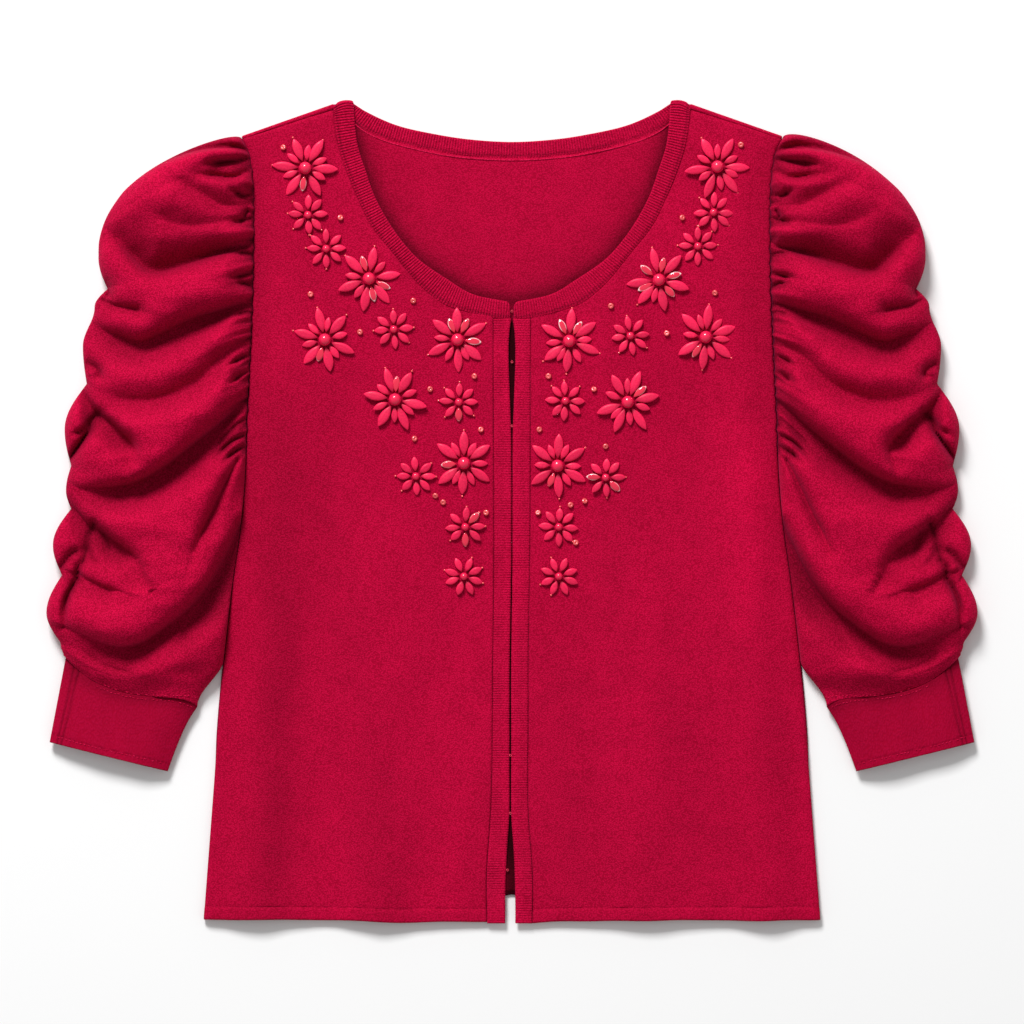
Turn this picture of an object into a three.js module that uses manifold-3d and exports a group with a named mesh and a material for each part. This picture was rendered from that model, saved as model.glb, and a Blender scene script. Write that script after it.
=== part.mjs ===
// A beaded knit cardigan with short puff sleeves, laid flat on its back with its fronts up.
// Millimetres, +Z up, the collar toward +Y and the wearer's left toward +X.
// The origin is on the surface that it lies on, under the middle of the garment's box.

import * as THREE from 'three';
import { mergeVertices } from 'three/addons/utils/BufferGeometryUtils.js';
import Module from 'manifold-3d';

const wasm = await Module();
wasm.setup();

// Cloth and layers
const clothWall = 2.2;
const ribWall = 2.6;
const backRibWall = 2.3;
const seamGap = 0.3;
const neckSeamGap = 0.35;
const layerGap = 0.1;
const frontLevel = 2.6;
const sleeveGap = 0.6;
const mergeDistance = 1e-4;
const mergedDetail = 0.1;

// Colours from the garment
const clothColour = 0xb50a37;
const ribColour = 0xa1072d;

// Half the body's width at heights along it, from the hem up the side and the armhole to the shoulder
const bodySide = [
  { y: -316, x: 237.4 },
  { y: -212, x: 229.5 },
  { y: -145, x: 224.5 },
  { y: -97, x: 219.5 },
  { y: -55, x: 214.5 },
  { y: -20, x: 209.5 },
  { y: 12, x: 206 },
  { y: 36, x: 204.5 },
  { y: 75, x: 203 },
  { y: 140, x: 199.8 },
  { y: 200, x: 198 },
  { y: 240, x: 198 },
  { y: 262, x: 199.5 },
  { y: 276, x: 202.5 },
  { y: 286.5, x: 208 },
];

// The seam between a front panel and its button band, from the hem up to the neckline
const bandSeam = [
  { y: -317.2, x: 18.5 },
  { y: -282, x: 19.2 },
  { y: -226, x: 15.4 },
  { y: -146, x: 14.6 },
  { y: 46, x: 14.3 },
  { y: 147, x: 14.2 },
];

// Heights where a band and the front sewn to it are both stepped
const bandHeights = [-317.2, -300, -282, -254, -226, -186, -146, -98, -50, -2, 46, 74, 98, 115, 132, 147];

// Half the gap between the two button bands, which part a little at the neck and at the hem
const bandOpening = [
  { y: -317.2, x: 4.4 },
  { y: -292, x: 3.8 },
  { y: -236, x: 0.7 },
  { y: 69, x: 0.5 },
  { y: 98, x: 1.9 },
  { y: 132, x: 2.7 },
  { y: 147, x: 1.1 },
];

// The seam where a front panel meets its neckband, from the centre to the shoulder
const frontNeckSeam = [
  { x: 14.2, y: 147.6 },
  { x: 35.4, y: 152.5 },
  { x: 53.1, y: 158.6 },
  { x: 70.8, y: 172.5 },
  { x: 92, y: 198 },
  { x: 107.8, y: 218 },
  { x: 118.6, y: 239.8 },
  { x: 127.3, y: 261 },
  { x: 133.6, y: 280.7 },
  { x: 136.3, y: 297 },
  { x: 137.6, y: 309 },
];

// The free edge of a front neckband, from the centre to the shoulder
const frontNeckEdge = [
  { x: 1.3, y: 160 },
  { x: 31, y: 166.5 },
  { x: 48.7, y: 177 },
  { x: 70.8, y: 192.2 },
  { x: 80.9, y: 202.5 },
  { x: 93.5, y: 219.5 },
  { x: 105.5, y: 241.4 },
  { x: 112.4, y: 261 },
  { x: 118.6, y: 280.7 },
  { x: 122, y: 300.3 },
  { x: 123.4, y: 317 },
];

// The free edge and the seam of the back neckband, from the centre to the shoulder
const backNeckEdge = [
  { x: 0, y: 283.4 },
  { x: 32, y: 285.3 },
  { x: 55.9, y: 288.8 },
  { x: 88.9, y: 296.3 },
  { x: 112.4, y: 307.8 },
  { x: 124, y: 317.2 },
];
const backNeckSeam = [
  { x: 0, y: 270.8 },
  { x: 32, y: 272.3 },
  { x: 55.9, y: 275.4 },
  { x: 94.8, y: 284.8 },
  { x: 111.3, y: 291.9 },
  { x: 121.9, y: 299.8 },
  { x: 134.4, y: 309.6 },
];

const frontNeckSteps = 18;
const backNeckSteps = 44;
const backNeckGap = 0.4;

// Hems and shoulder
const frontHemY = -317.2;
const frontHemSideY = -315;
const backHemCentreY = -296;
const backHemSideY = -314;
const bandTopY = 147;
const frontShoulderTip = { x: 208, y: 286.5 };
const backShoulderTip = { x: 208.2, y: 287.4 };
const backShoulderNeck = { x: 137, y: 312.4 };

// Each row crosses a sleeve from the armhole or side (inner) through two middle points to the outer edge.
// Rows follow the folds: ridges stand at their crown height, valleys sink between them.
const sleeveFolds = [
  { fold: 'edge', inner: 285, near: [223, 286], far: [257, 275], outer: [289, 254], crown: 9 },
  { fold: 'ridge', inner: 260, near: [229, 260], far: [271, 246], outer: [313, 217], crown: 42 },
  { fold: 'valley', inner: 233, near: [234, 235], far: [271, 222], outer: [317, 206], crown: 34 },
  { fold: 'ridge', inner: 214, near: [236, 211], far: [279, 203], outer: [318, 194], crown: 42 },
  { fold: 'valley', inner: 198, near: [238, 189], far: [276, 180], outer: [311, 170], crown: 25 },
  { fold: 'ridge', inner: 176, near: [236, 166], far: [277, 157], outer: [321, 156], crown: 39 },
  { fold: 'valley', inner: 154, near: [240, 143], far: [280, 130], outer: [326, 140], crown: 23 },
  { fold: 'ridge', inner: 139, near: [243, 123], far: [285, 112], outer: [330, 126], crown: 38 },
  { fold: 'valley', inner: 124, near: [241, 102], far: [284, 88], outer: [327, 97], crown: 28 },
  { fold: 'ridge', inner: 103, near: [244, 79], far: [296, 64], outer: [344, 62], crown: 42 },
  { fold: 'valley', inner: 83, near: [250, 49], far: [290, 25], outer: [339, 34], crown: 17 },
  { fold: 'ridge', inner: 62, near: [240, 32], far: [290, -2], outer: [343, 15], crown: 37 },
  { fold: 'valley', inner: 41, near: [233, -2], far: [279, -37], outer: [339, 1], crown: 20 },
  { fold: 'ridge', inner: 19, near: [235, -31], far: [279, -58], outer: [353, -27], crown: 36 },
  { fold: 'valley', inner: 4, near: [238, -46], far: [300, -69], outer: [346, -50], crown: 29 },
  { fold: 'ridge', inner: -12, near: [240, -58], far: [300, -89], outer: [358, -79], crown: 36 },
  { fold: 'valley', inner: -38, near: [240, -80], far: [287, -109], outer: [350, -98], crown: 21 },
  { fold: 'ridge', inner: -55, near: [236, -96], far: [284, -123], outer: [347, -104], crown: 32 },
  { fold: 'valley', inner: -77, near: [237, -112], far: [285, -130], outer: [346, -108], crown: 18 },
  { fold: 'ridge', inner: -116, near: [246, -131], far: [294, -135], outer: [345, -111], crown: 15 },
  { fold: 'end', inner: -151, near: [267, -144], far: [303, -139], outer: [343.4, -114], crown: 12 },
];
const underarmFold = 12;
const gatheredRowsPerFold = 3;
const lowerRowsPerFold = 2;
const acrossSleeve = [0, 0.05, 0.14, 0.28, 0.46, 0.66, 0.83, 0.945, 1];
const sleeveOuterRoll = 9;
const sleeveInnerRoll = 3.5;
const sleeveEndRoll = 6;
const gatherDepth = 1.3;
const slantedEdge = 1.8;
const sleeveEndInner = { x: 242, y: -151 };

// The cuff runs on from the sleeve's end to a straight hem
const cuffInnerEdge = [
  { x: 242, y: -151 },
  { x: 249, y: -162 },
  { x: 257.2, y: -180.2 },
  { x: 264.9, y: -201 },
];
const cuffOuterEdge = [
  { x: 343.4, y: -114 },
  { x: 355.7, y: -178.6 },
];
const cuffRows = 4;
const cuffGap = 0.5;
const cuffCrown = 12;

// Beaded flowers: where each is sewn on its front, counted outward from the centre, and how far it is turned
const flowers = {
  left: [
    { size: 'large', x: 158, y: 264, turn: 3 },
    { size: 'large', x: 113, y: 177, turn: 43 },
    { size: 'large', x: 149, y: 133, turn: 23 },
    { size: 'large', x: 44, y: 130, turn: 32 },
    { size: 'large', x: 89, y: 83, turn: 8 },
    { size: 'large', x: 35, y: 34, turn: 30 },
    { size: 'small', x: 155, y: 229, turn: 0 },
    { size: 'small', x: 143, y: 203, turn: 0 },
    { size: 'small', x: 91, y: 134, turn: 4 },
    { size: 'small', x: 41, y: 84, turn: 0 },
    { size: 'small', x: 72, y: 25, turn: 0 },
    { size: 'small', x: 36, y: -13, turn: 0 },
    { size: 'small', x: 36, y: -51, turn: 22.5 },
  ],
  right: [
    { size: 'large', x: 159, y: 263, turn: 2 },
    { size: 'large', x: 110, y: 178, turn: 45 },
    { size: 'large', x: 144, y: 131, turn: 17 },
    { size: 'large', x: 42, y: 131, turn: 33 },
    { size: 'large', x: 90, y: 85, turn: 8 },
    { size: 'large', x: 37, y: 36, turn: 30 },
    { size: 'small', x: 157, y: 227, turn: 0 },
    { size: 'small', x: 143, y: 201, turn: 0 },
    { size: 'small', x: 91, y: 139, turn: -9 },
    { size: 'small', x: 41, y: 83, turn: 0 },
    { size: 'small', x: 74, y: 26, turn: 0 },
    { size: 'small', x: 36, y: -13, turn: 0 },
    { size: 'small', x: 37, y: -51, turn: 22.5 },
  ],
};
const pointedSixSides = [[-1, 0], [-0.36, -1], [0.36, -1], [1, 0], [0.36, 1], [-0.36, 1]];
const pointedFourSides = [[-1, 0], [0.1, -1.15], [1, 0], [0.1, 1.15]];
const longPetal = { count: 6, start: 6, end: 25.5, width: 7.2, turn: 0, rise: 2.6, outline: pointedSixSides };
const shortPetal = { count: 6, start: 6.4, end: 18, width: 4.8, turn: 30, rise: 2.2, outline: pointedFourSides };
const smallPetal = { count: 8, start: 4, end: 15.5, width: 5.2, turn: 0, rise: 2, outline: pointedFourSides };
const flowerKinds = {
  large: { petals: [longPetal, shortPetal], pearl: { radius: 4.8, rise: 7, sides: 8 } },
  small: { petals: [smallPetal], pearl: { radius: 2.9, rise: 4.4, sides: 6 } },
};
const beadSink = 0.9;
const beadMargin = 0.4;

// Soft upright drapes in a front panel: where each ridge stands at the hem and at the chest
const drapes = [
  { hemX: 196, chestX: 172, width: 20, height: 4.2 },
  { hemX: 102, chestX: 88, width: 28, height: 2.8 },
];
const drapeFade = 24;

const mix = (from, to, share) => from + (to - from) * share;

const smooth = (share) => {
  const held = Math.min(Math.max(share, 0), 1);
  return held * held * (3 - 2 * held);
};

// A value read from a table at any height, by straight lines between its rows
function readTable(table, y) {
  let k = 1;
  while (k < table.length - 1 && table[k].y < y) {
    k += 1;
  }
  const before = table[k - 1];
  const after = table[k];
  return mix(before.x, after.x, (y - before.y) / (after.y - before.y));
}

const bodySideX = (y) => readTable(bodySide, y);

// How far from the centre a front panel begins at a height: at its button band or at the neckline
const frontInnerX = (y) => (y < bandTopY ? readTable(bandSeam, y) : readTable(frontNeckSeam, y));

function curveThrough(table) {
  return new THREE.CatmullRomCurve3(table.map((row) => new THREE.Vector3(row.x, row.y, 0)), false, 'centripetal');
}

// A curve through a table that runs from the centre outward, and its mirror image before it
function curveBothSides(table) {
  const otherSide = table.slice(1).reverse().map((row) => ({ x: -row.x, y: row.y }));
  return curveThrough([...otherSide, ...table]);
}

// A closed solid from faces given as rings of corners, all turning the same way seen from outside
function solidFromFaces(faces) {
  const corners = [];
  for (const face of faces) {
    for (let k = 2; k < face.length; k += 1) {
      corners.push(face[0], face[k - 1], face[k]);
    }
  }
  const merged = mergeVertices(new THREE.BufferGeometry().setFromPoints(corners), mergeDistance);
  const index = merged.index.array;
  const kept = [];
  for (let k = 0; k < index.length; k += 3) {
    const [a, b, c] = [index[k], index[k + 1], index[k + 2]];
    if (a !== b && b !== c && c !== a) {
      kept.push(a, b, c);
    }
  }
  merged.setIndex(kept);
  return facingOut(merged);
}

function facingOut(geometry) {
  const place = geometry.attributes.position;
  const index = geometry.index.array;
  const [a, b, c] = [new THREE.Vector3(), new THREE.Vector3(), new THREE.Vector3()];
  let volume = 0;
  for (let k = 0; k < index.length; k += 3) {
    a.fromBufferAttribute(place, index[k]);
    b.fromBufferAttribute(place, index[k + 1]);
    c.fromBufferAttribute(place, index[k + 2]);
    volume += a.dot(b.cross(c)) / 6;
  }
  if (volume < 0) {
    const turned = [];
    for (let k = 0; k < index.length; k += 3) {
      turned.push(index[k], index[k + 2], index[k + 1]);
    }
    geometry.setIndex(turned);
  }
  return geometry;
}

// The same solid on the other side of the garment
function mirrored(geometry) {
  const copy = geometry.clone();
  copy.scale(-1, 1, 1);
  return facingOut(copy);
}

// A wall between an upper and a lower grid of points, closed round its four sides
function sheetSolid(upper, lower) {
  const faces = [];
  const lastRow = upper.length - 1;
  const lastColumn = upper[0].length - 1;
  for (let j = 0; j < lastRow; j += 1) {
    for (let i = 0; i < lastColumn; i += 1) {
      faces.push([upper[j][i], upper[j][i + 1], upper[j + 1][i + 1], upper[j + 1][i]]);
      faces.push([lower[j][i], lower[j + 1][i], lower[j + 1][i + 1], lower[j][i + 1]]);
    }
    faces.push([upper[j][0], upper[j + 1][0], lower[j + 1][0], lower[j][0]]);
    faces.push([upper[j + 1][lastColumn], upper[j][lastColumn], lower[j][lastColumn], lower[j + 1][lastColumn]]);
  }
  for (let i = 0; i < lastColumn; i += 1) {
    faces.push([upper[0][i + 1], upper[0][i], lower[0][i], lower[0][i + 1]]);
    faces.push([upper[lastRow][i], upper[lastRow][i + 1], lower[lastRow][i + 1], lower[lastRow][i]]);
  }
  return solidFromFaces(faces);
}

// A strip of cloth between two edges, in equal steps along both, with its underside at one level
function stripSolid(edgeA, edgeB, steps, level, wall) {
  const upper = [];
  const lower = [];
  for (let j = 0; j <= steps; j += 1) {
    const a = edgeA(j / steps);
    const b = edgeB(j / steps);
    upper.push([new THREE.Vector3(a.x, a.y, level + wall), new THREE.Vector3(b.x, b.y, level + wall)]);
    lower.push([new THREE.Vector3(a.x, a.y, level), new THREE.Vector3(b.x, b.y, level)]);
  }
  return sheetSolid(upper, lower);
}

// Height of a front panel's underside: it lies on the back and lifts in soft upright drapes
function frontUnderside(x, y) {
  const up = (y - frontHemY) / (bandTopY - frontHemY);
  let lift = 0;
  for (const drape of drapes) {
    const centre = mix(drape.hemX, drape.chestX, Math.min(up, 1));
    const away = (x - centre) / drape.width;
    lift += drape.height * Math.exp(-away * away) * mix(1, 0.45, smooth(up));
  }
  const fromSide = smooth((bodySideX(y) - x) / drapeFade);
  const fromShoulder = smooth((300 - y) / 60);
  return frontLevel + lift * fromSide * fromShoulder;
}

// A front panel's rows: level ones up to the neckline, then ones that fan round it to the shoulder seam
function frontRows() {
  const neckTurnY = 150;
  const seam = curveThrough(frontNeckSeam);
  const rows = [];
  for (const innerY of bandHeights.slice(0, -1)) {
    const outerY = mix(frontHemSideY, neckTurnY, (innerY - frontHemY) / (bandTopY - frontHemY));
    rows.push({
      inner: { x: readTable(bandSeam, innerY), y: innerY },
      outer: { x: bodySideX(outerY), y: outerY },
    });
  }
  for (let j = 0; j <= frontNeckSteps; j += 1) {
    const outerY = mix(neckTurnY, frontShoulderTip.y, j / frontNeckSteps);
    rows.push({ inner: seam.getPointAt(j / frontNeckSteps), outer: { x: bodySideX(outerY), y: outerY } });
  }
  return rows;
}

function frontPanel() {
  const columns = 8;
  const upper = [];
  const lower = [];
  for (const row of frontRows()) {
    const upperRow = [];
    const lowerRow = [];
    for (let i = 0; i <= columns; i += 1) {
      const x = mix(row.inner.x, row.outer.x, i / columns);
      const y = mix(row.inner.y, row.outer.y, i / columns);
      const underside = frontUnderside(x, y);
      upperRow.push(new THREE.Vector3(x, y, underside + clothWall));
      lowerRow.push(new THREE.Vector3(x, y, underside));
    }
    upper.push(upperRow);
    lower.push(lowerRow);
  }
  return sheetSolid(upper, lower);
}

function beadPoint(flower, angle, along, across, height) {
  const x = flower.x + along * Math.cos(angle) - across * Math.sin(angle);
  const y = flower.y + along * Math.sin(angle) + across * Math.cos(angle);
  return new THREE.Vector3(x, y, frontUnderside(x, y) + clothWall + height);
}

// The foot of a pointed bead, sunk in the cloth and wider there than where it comes out
function petalFoot(flower, angle, kind, end) {
  const middle = (kind.start + end) / 2;
  const spread = (kind.rise + beadSink) / kind.rise;
  const halfLong = ((end - kind.start) / 2) * spread;
  const halfWide = (kind.width / 2) * spread;
  return kind.outline.map(([along, across]) =>
    beadPoint(flower, angle, middle + along * halfLong, across * halfWide, -beadSink));
}

// A pointed bead that ends short of the panel's edge, its foot drawn in to one raised point
function petalBead(flower, angle, kind) {
  let end = kind.end;
  let foot = petalFoot(flower, angle, kind, end);
  while (foot.some((point) => point.x < frontInnerX(point.y) + beadMargin)) {
    end -= 0.5;
    foot = petalFoot(flower, angle, kind, end);
  }
  const peak = beadPoint(flower, angle, (kind.start + end) / 2, 0, kind.rise);
  const faces = [foot.slice().reverse()];
  for (let k = 0; k < foot.length; k += 1) {
    faces.push([foot[k], foot[(k + 1) % foot.length], peak]);
  }
  return solidFromFaces(faces);
}

// A round pearl: rings that follow a ball's side, from its sunk foot to its top
function pearlBead(flower, kind) {
  const levels = [
    { share: 0.85, height: -beadSink },
    { share: 1, height: kind.rise * 0.4 },
    { share: 0.62, height: kind.rise * 0.85 },
  ];
  const rings = levels.map((level) => {
    const ring = [];
    for (let k = 0; k < kind.sides; k += 1) {
      const angle = (k / kind.sides) * 2 * Math.PI;
      ring.push(beadPoint(flower, angle, kind.radius * level.share, 0, level.height));
    }
    return ring;
  });
  const peak = beadPoint(flower, 0, 0, 0, kind.rise);
  const faces = [rings[0].slice().reverse()];
  for (let k = 0; k < kind.sides; k += 1) {
    const next = (k + 1) % kind.sides;
    for (let level = 1; level < rings.length; level += 1) {
      faces.push([rings[level - 1][k], rings[level - 1][next], rings[level][next], rings[level][k]]);
    }
    faces.push([rings[rings.length - 1][k], rings[rings.length - 1][next], peak]);
  }
  return solidFromFaces(faces);
}

function flowerBeads(flower) {
  const kind = flowerKinds[flower.size];
  const beads = [pearlBead(flower, kind.pearl)];
  for (const petal of kind.petals) {
    for (let k = 0; k < petal.count; k += 1) {
      const degrees = flower.turn + petal.turn + (k * 360) / petal.count;
      beads.push(petalBead(flower, THREE.MathUtils.degToRad(degrees), petal));
    }
  }
  return beads;
}

function toManifold(geometry) {
  return new wasm.Manifold(new wasm.Mesh({
    numProp: 3,
    vertProperties: new Float32Array(geometry.attributes.position.array),
    triVerts: new Uint32Array(geometry.index.array),
  }));
}

function toGeometry(manifold) {
  const mesh = manifold.getMesh();
  const geometry = new THREE.BufferGeometry();
  geometry.setAttribute('position', new THREE.BufferAttribute(new Float32Array(mesh.vertProperties), 3));
  geometry.setIndex(Array.from(mesh.triVerts));
  return geometry;
}

// The front panel with its flowers raised in the outer surface, the inside left plain
function beadedFront(flowersOnIt) {
  let panel = toManifold(frontPanel());
  for (const bead of flowersOnIt.flatMap(flowerBeads)) {
    panel = panel.add(toManifold(bead));
  }
  return toGeometry(panel.simplify(mergedDetail));
}

// The back: one flat plate under everything, from hem to shoulders
function backPanel() {
  const seam = curveBothSides(backNeckSeam);
  const rightHalf = [];
  const hemSteps = 6;
  for (let k = 0; k < hemSteps; k += 1) {
    const share = k / hemSteps;
    const sideX = bodySideX(backHemSideY) * share;
    rightHalf.push([sideX, mix(backHemCentreY, backHemSideY, 1 - (1 - share) ** 2)]);
  }
  rightHalf.push([bodySideX(backHemSideY), backHemSideY]);
  for (const row of bodySide.slice(1)) {
    rightHalf.push([row.x, row.y]);
  }
  rightHalf.push([backShoulderTip.x, backShoulderTip.y]);
  rightHalf.push([backShoulderNeck.x, backShoulderNeck.y]);
  for (let k = backNeckSteps; k >= backNeckSteps / 2; k -= 1) {
    const point = seam.getPointAt(k / backNeckSteps);
    const tangent = seam.getTangentAt(k / backNeckSteps);
    rightHalf.push([point.x + tangent.y * backNeckGap, point.y - tangent.x * backNeckGap]);
  }
  const leftHalf = rightHalf.slice(1, -1).reverse().map(([x, y]) => [-x, y]);
  const outline = [...rightHalf, ...leftHalf].map(([x, y]) => new THREE.Vector2(x, y));
  const plate = new THREE.ExtrudeGeometry(new THREE.Shape(outline), { depth: clothWall, bevelEnabled: false });
  plate.deleteAttribute('normal');
  plate.deleteAttribute('uv');
  return facingOut(mergeVertices(plate, mergeDistance));
}

// A button band on the inner edge of its front
function buttonBand() {
  const steps = bandHeights.length - 1;
  const heightAt = (share) => bandHeights[Math.round(share * steps)];
  const free = (share) => ({ x: readTable(bandOpening, heightAt(share)), y: heightAt(share) });
  const sewn = (share) => ({ x: readTable(bandSeam, heightAt(share)) - seamGap, y: heightAt(share) });
  return stripSolid(free, sewn, steps, frontLevel, ribWall);
}

// A front neckband, from the top of the button band round to the shoulder
function frontNeckband() {
  const steps = frontNeckSteps + 1;
  const corner = { x: 1.1, y: bandTopY + seamGap };
  const sewnCurve = curveThrough(frontNeckSeam);
  const freeCurve = curveThrough(frontNeckEdge);
  const sewn = (share) => {
    if (share === 0) {
      return corner;
    }
    const along = (share * steps - 1) / frontNeckSteps;
    const point = sewnCurve.getPointAt(along);
    const tangent = sewnCurve.getTangentAt(along);
    return { x: point.x - tangent.y * neckSeamGap, y: point.y + tangent.x * neckSeamGap };
  };
  const free = (share) => freeCurve.getPointAt(share);
  return stripSolid(free, sewn, steps, frontLevel + layerGap, ribWall);
}

// The back neckband, in one piece from shoulder to shoulder
function backNeckband() {
  const freeCurve = curveBothSides(backNeckEdge);
  const sewnCurve = curveBothSides(backNeckSeam);
  const free = (share) => freeCurve.getPointAt(share);
  const sewn = (share) => sewnCurve.getPointAt(share);
  return stripSolid(free, sewn, backNeckSteps, 0, backRibWall);
}

// A point of a row's plan curve, which passes its four points at equal shares and stays clear of the body
function rowPoint(row, v) {
  const [p, q, r, s] = row.points;
  const a = ((1 - 3 * v) * (2 - 3 * v) * (1 - v)) / 2;
  const b = (9 * v * (2 - 3 * v) * (1 - v)) / 2;
  const c = (9 * v * (3 * v - 1) * (1 - v)) / 2;
  const d = (v * (3 * v - 1) * (3 * v - 2)) / 2;
  const x = a * p[0] + b * q[0] + c * r[0] + d * s[0];
  const y = a * p[1] + b * q[1] + c * r[1] + d * s[1];
  return { x: Math.max(x, bodySideX(y) + sleeveGap), y };
}

// Sharp at a valley, round over a ridge
function foldShare(before, after, share) {
  if (before.fold === 'edge') {
    return Math.sqrt(share * (2 - share));
  }
  if (after.fold === 'ridge') {
    return Math.sin((share * Math.PI) / 2);
  }
  if (after.fold === 'end') {
    return smooth(share);
  }
  return 1 - Math.cos((share * Math.PI) / 2);
}

function foldInner(fold) {
  if (fold.fold === 'end') {
    return [sleeveEndInner.x, sleeveEndInner.y];
  }
  return [bodySideX(fold.inner) + sleeveGap, fold.inner];
}

// One row of the sleeve: its plan points, crown height, roll heights and whether the armhole is open there
function sleeveRow(before, after, share, order) {
  const weight = foldShare(before, after, share);
  const innerY = mix(foldInner(before)[1], foldInner(after)[1], share);
  const innerX = after.fold === 'end'
    ? mix(foldInner(before)[0], foldInner(after)[0], share)
    : bodySideX(innerY) + sleeveGap;
  const between = (from, to, xShare) => [mix(from[0], to[0], xShare), mix(from[1], to[1], share)];
  const toEnd = after.fold === 'end' ? share : 0;
  return {
    points: [
      [innerX, innerY],
      between(before.near, after.near, share),
      between(before.far, after.far, share),
      between(before.outer, after.outer, weight),
    ],
    crown: mix(before.crown, after.crown, weight),
    outerRoll: mix(sleeveOuterRoll, sleeveEndRoll, toEnd),
    innerRoll: mix(sleeveInnerRoll, sleeveEndRoll, toEnd),
    order,
  };
}

function sleeveRows() {
  const rows = [];
  for (let k = 0; k < sleeveFolds.length - 1; k += 1) {
    const steps = k < underarmFold ? gatheredRowsPerFold : lowerRowsPerFold;
    for (let step = 0; step < steps; step += 1) {
      rows.push(sleeveRow(sleeveFolds[k], sleeveFolds[k + 1], step / steps, rows.length));
    }
  }
  rows.push(sleeveRow(sleeveFolds[sleeveFolds.length - 2], sleeveFolds[sleeveFolds.length - 1], 1, rows.length));
  return rows;
}

// How far the cloth has risen from the inner edge and not yet fallen to the outer one
function crownShare(v) {
  const rise = Math.sin((Math.PI / 2) * Math.min(v / 0.3, 1)) ** 0.8;
  const fallen = Math.max(0, (v - 0.45) / 0.55);
  return rise * Math.sqrt(Math.max(0, 1 - fallen * fallen));
}

// Height of a round roll's underside at a distance in from its edge
function rollHeight(edgeHeight, floor, distance) {
  const radius = edgeHeight - floor;
  const inside = Math.max(0, radius - distance);
  return edgeHeight - Math.sqrt(Math.max(0, radius * radius - inside * inside));
}

// The four heights of a tube row at one share across it: outside and inside, over and under
function tubePoints(row, v, openInner, flatEdge, gather) {
  const length = Math.hypot(row.points[3][0] - row.points[0][0], row.points[3][1] - row.points[0][1]);
  const outerInset = clothWall / length;
  const innerInset = openInner ? 0 : (clothWall * slantedEdge) / length;
  const insideV = mix(innerInset, 1 - outerInset, v);
  const outside = rowPoint(row, v);
  const inside = rowPoint(row, insideV);
  const edge = mix(row.innerRoll, row.outerRoll, v);
  const overEdge = openInner ? mix(frontLevel + clothWall, row.outerRoll, v) : edge;
  const overInsideEdge = openInner ? mix(frontLevel, row.outerRoll, v) : edge;
  const share = crownShare(v);
  let over = mix(overEdge, row.crown, share) + gather;
  let overInside = mix(overInsideEdge, row.crown - clothWall, share) + gather;
  const fromOuter = (1 - v) * length;
  const fromInner = openInner ? length : v * length;
  let under = Math.max(rollHeight(row.outerRoll, 0, fromOuter), rollHeight(row.innerRoll, 0, fromInner));
  let underInside = Math.max(
    rollHeight(row.outerRoll, clothWall, fromOuter),
    rollHeight(row.innerRoll, clothWall, fromInner),
  );
  if (flatEdge) {
    over = edge;
    under = edge;
    overInside = edge;
    underInside = edge;
  }
  return {
    over: new THREE.Vector3(outside.x, outside.y, over),
    under: new THREE.Vector3(outside.x, outside.y, under),
    overInside: new THREE.Vector3(inside.x, inside.y, overInside),
    underInside: new THREE.Vector3(inside.x, inside.y, underInside),
  };
}

// A flattened tube of cloth from its rows of outside and inside points, each row a loop or an open loop
function tubeSolid(rings) {
  const faces = [];
  const lastRing = rings.length - 1;
  const count = rings[0].outside.length;
  for (let j = 0; j < lastRing; j += 1) {
    const [a, b] = [rings[j], rings[j + 1]];
    for (let i = 0; i < count - 1; i += 1) {
      faces.push([a.outside[i], a.outside[i + 1], b.outside[i + 1], b.outside[i]]);
      faces.push([a.inside[i], b.inside[i], b.inside[i + 1], a.inside[i + 1]]);
    }
    if (a.open || b.open) {
      faces.push([a.outside[0], b.outside[0], b.inside[0], a.inside[0]]);
      faces.push([a.outside[count - 1], a.inside[count - 1], b.inside[count - 1], b.outside[count - 1]]);
    }
  }
  const capRing = (ring, turned) => {
    for (let i = 0; i < count - 1; i += 1) {
      const face = [ring.outside[i], ring.outside[i + 1], ring.inside[i + 1], ring.inside[i]];
      faces.push(turned ? face.reverse() : face);
    }
  };
  if (!rings[0].folded) {
    capRing(rings[0], true);
  }
  capRing(rings[lastRing], false);
  return solidFromFaces(faces);
}

function ringFrom(points, open, folded) {
  const under = points.map((point) => point.under);
  const over = points.map((point) => point.over).reverse();
  const underInside = points.map((point) => point.underInside);
  const overInside = points.map((point) => point.overInside).reverse();
  return { outside: [...under, ...over.slice(1)], inside: [...underInside, ...overInside.slice(1)], open, folded };
}

// The puff sleeve: gathered into the armhole, folded over at its top, open at the armhole and the cuff
function puffSleeve() {
  const rows = sleeveRows();
  const underarmRow = underarmFold * gatheredRowsPerFold;
  const topInset = 2.4;
  const rings = rows.map((row, j) => {
    const open = j < underarmRow;
    const folded = j === 0;
    const side = j % 2 === 0 ? 1 : -1;
    const points = acrossSleeve.map((v) => {
      const near = Math.min(v / 0.05, 1) * Math.max(0, 1 - v / 0.32);
      const gather = open && !folded ? side * gatherDepth * near : 0;
      return tubePoints(row, v, open && !folded, folded, gather);
    });
    if (folded) {
      const next = rows[1];
      for (const [k, v] of acrossSleeve.entries()) {
        const toward = rowPoint(next, v);
        const from = points[k].over;
        const distance = Math.hypot(toward.x - from.x, toward.y - from.y);
        const share = topInset / distance;
        const x = mix(points[k].overInside.x, toward.x, share);
        const y = mix(points[k].overInside.y, toward.y, share);
        points[k].overInside.set(x, y, from.z);
        points[k].underInside.set(x, y, from.z);
      }
    }
    return ringFrom(points, open, folded);
  });
  return tubeSolid(rings);
}

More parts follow.
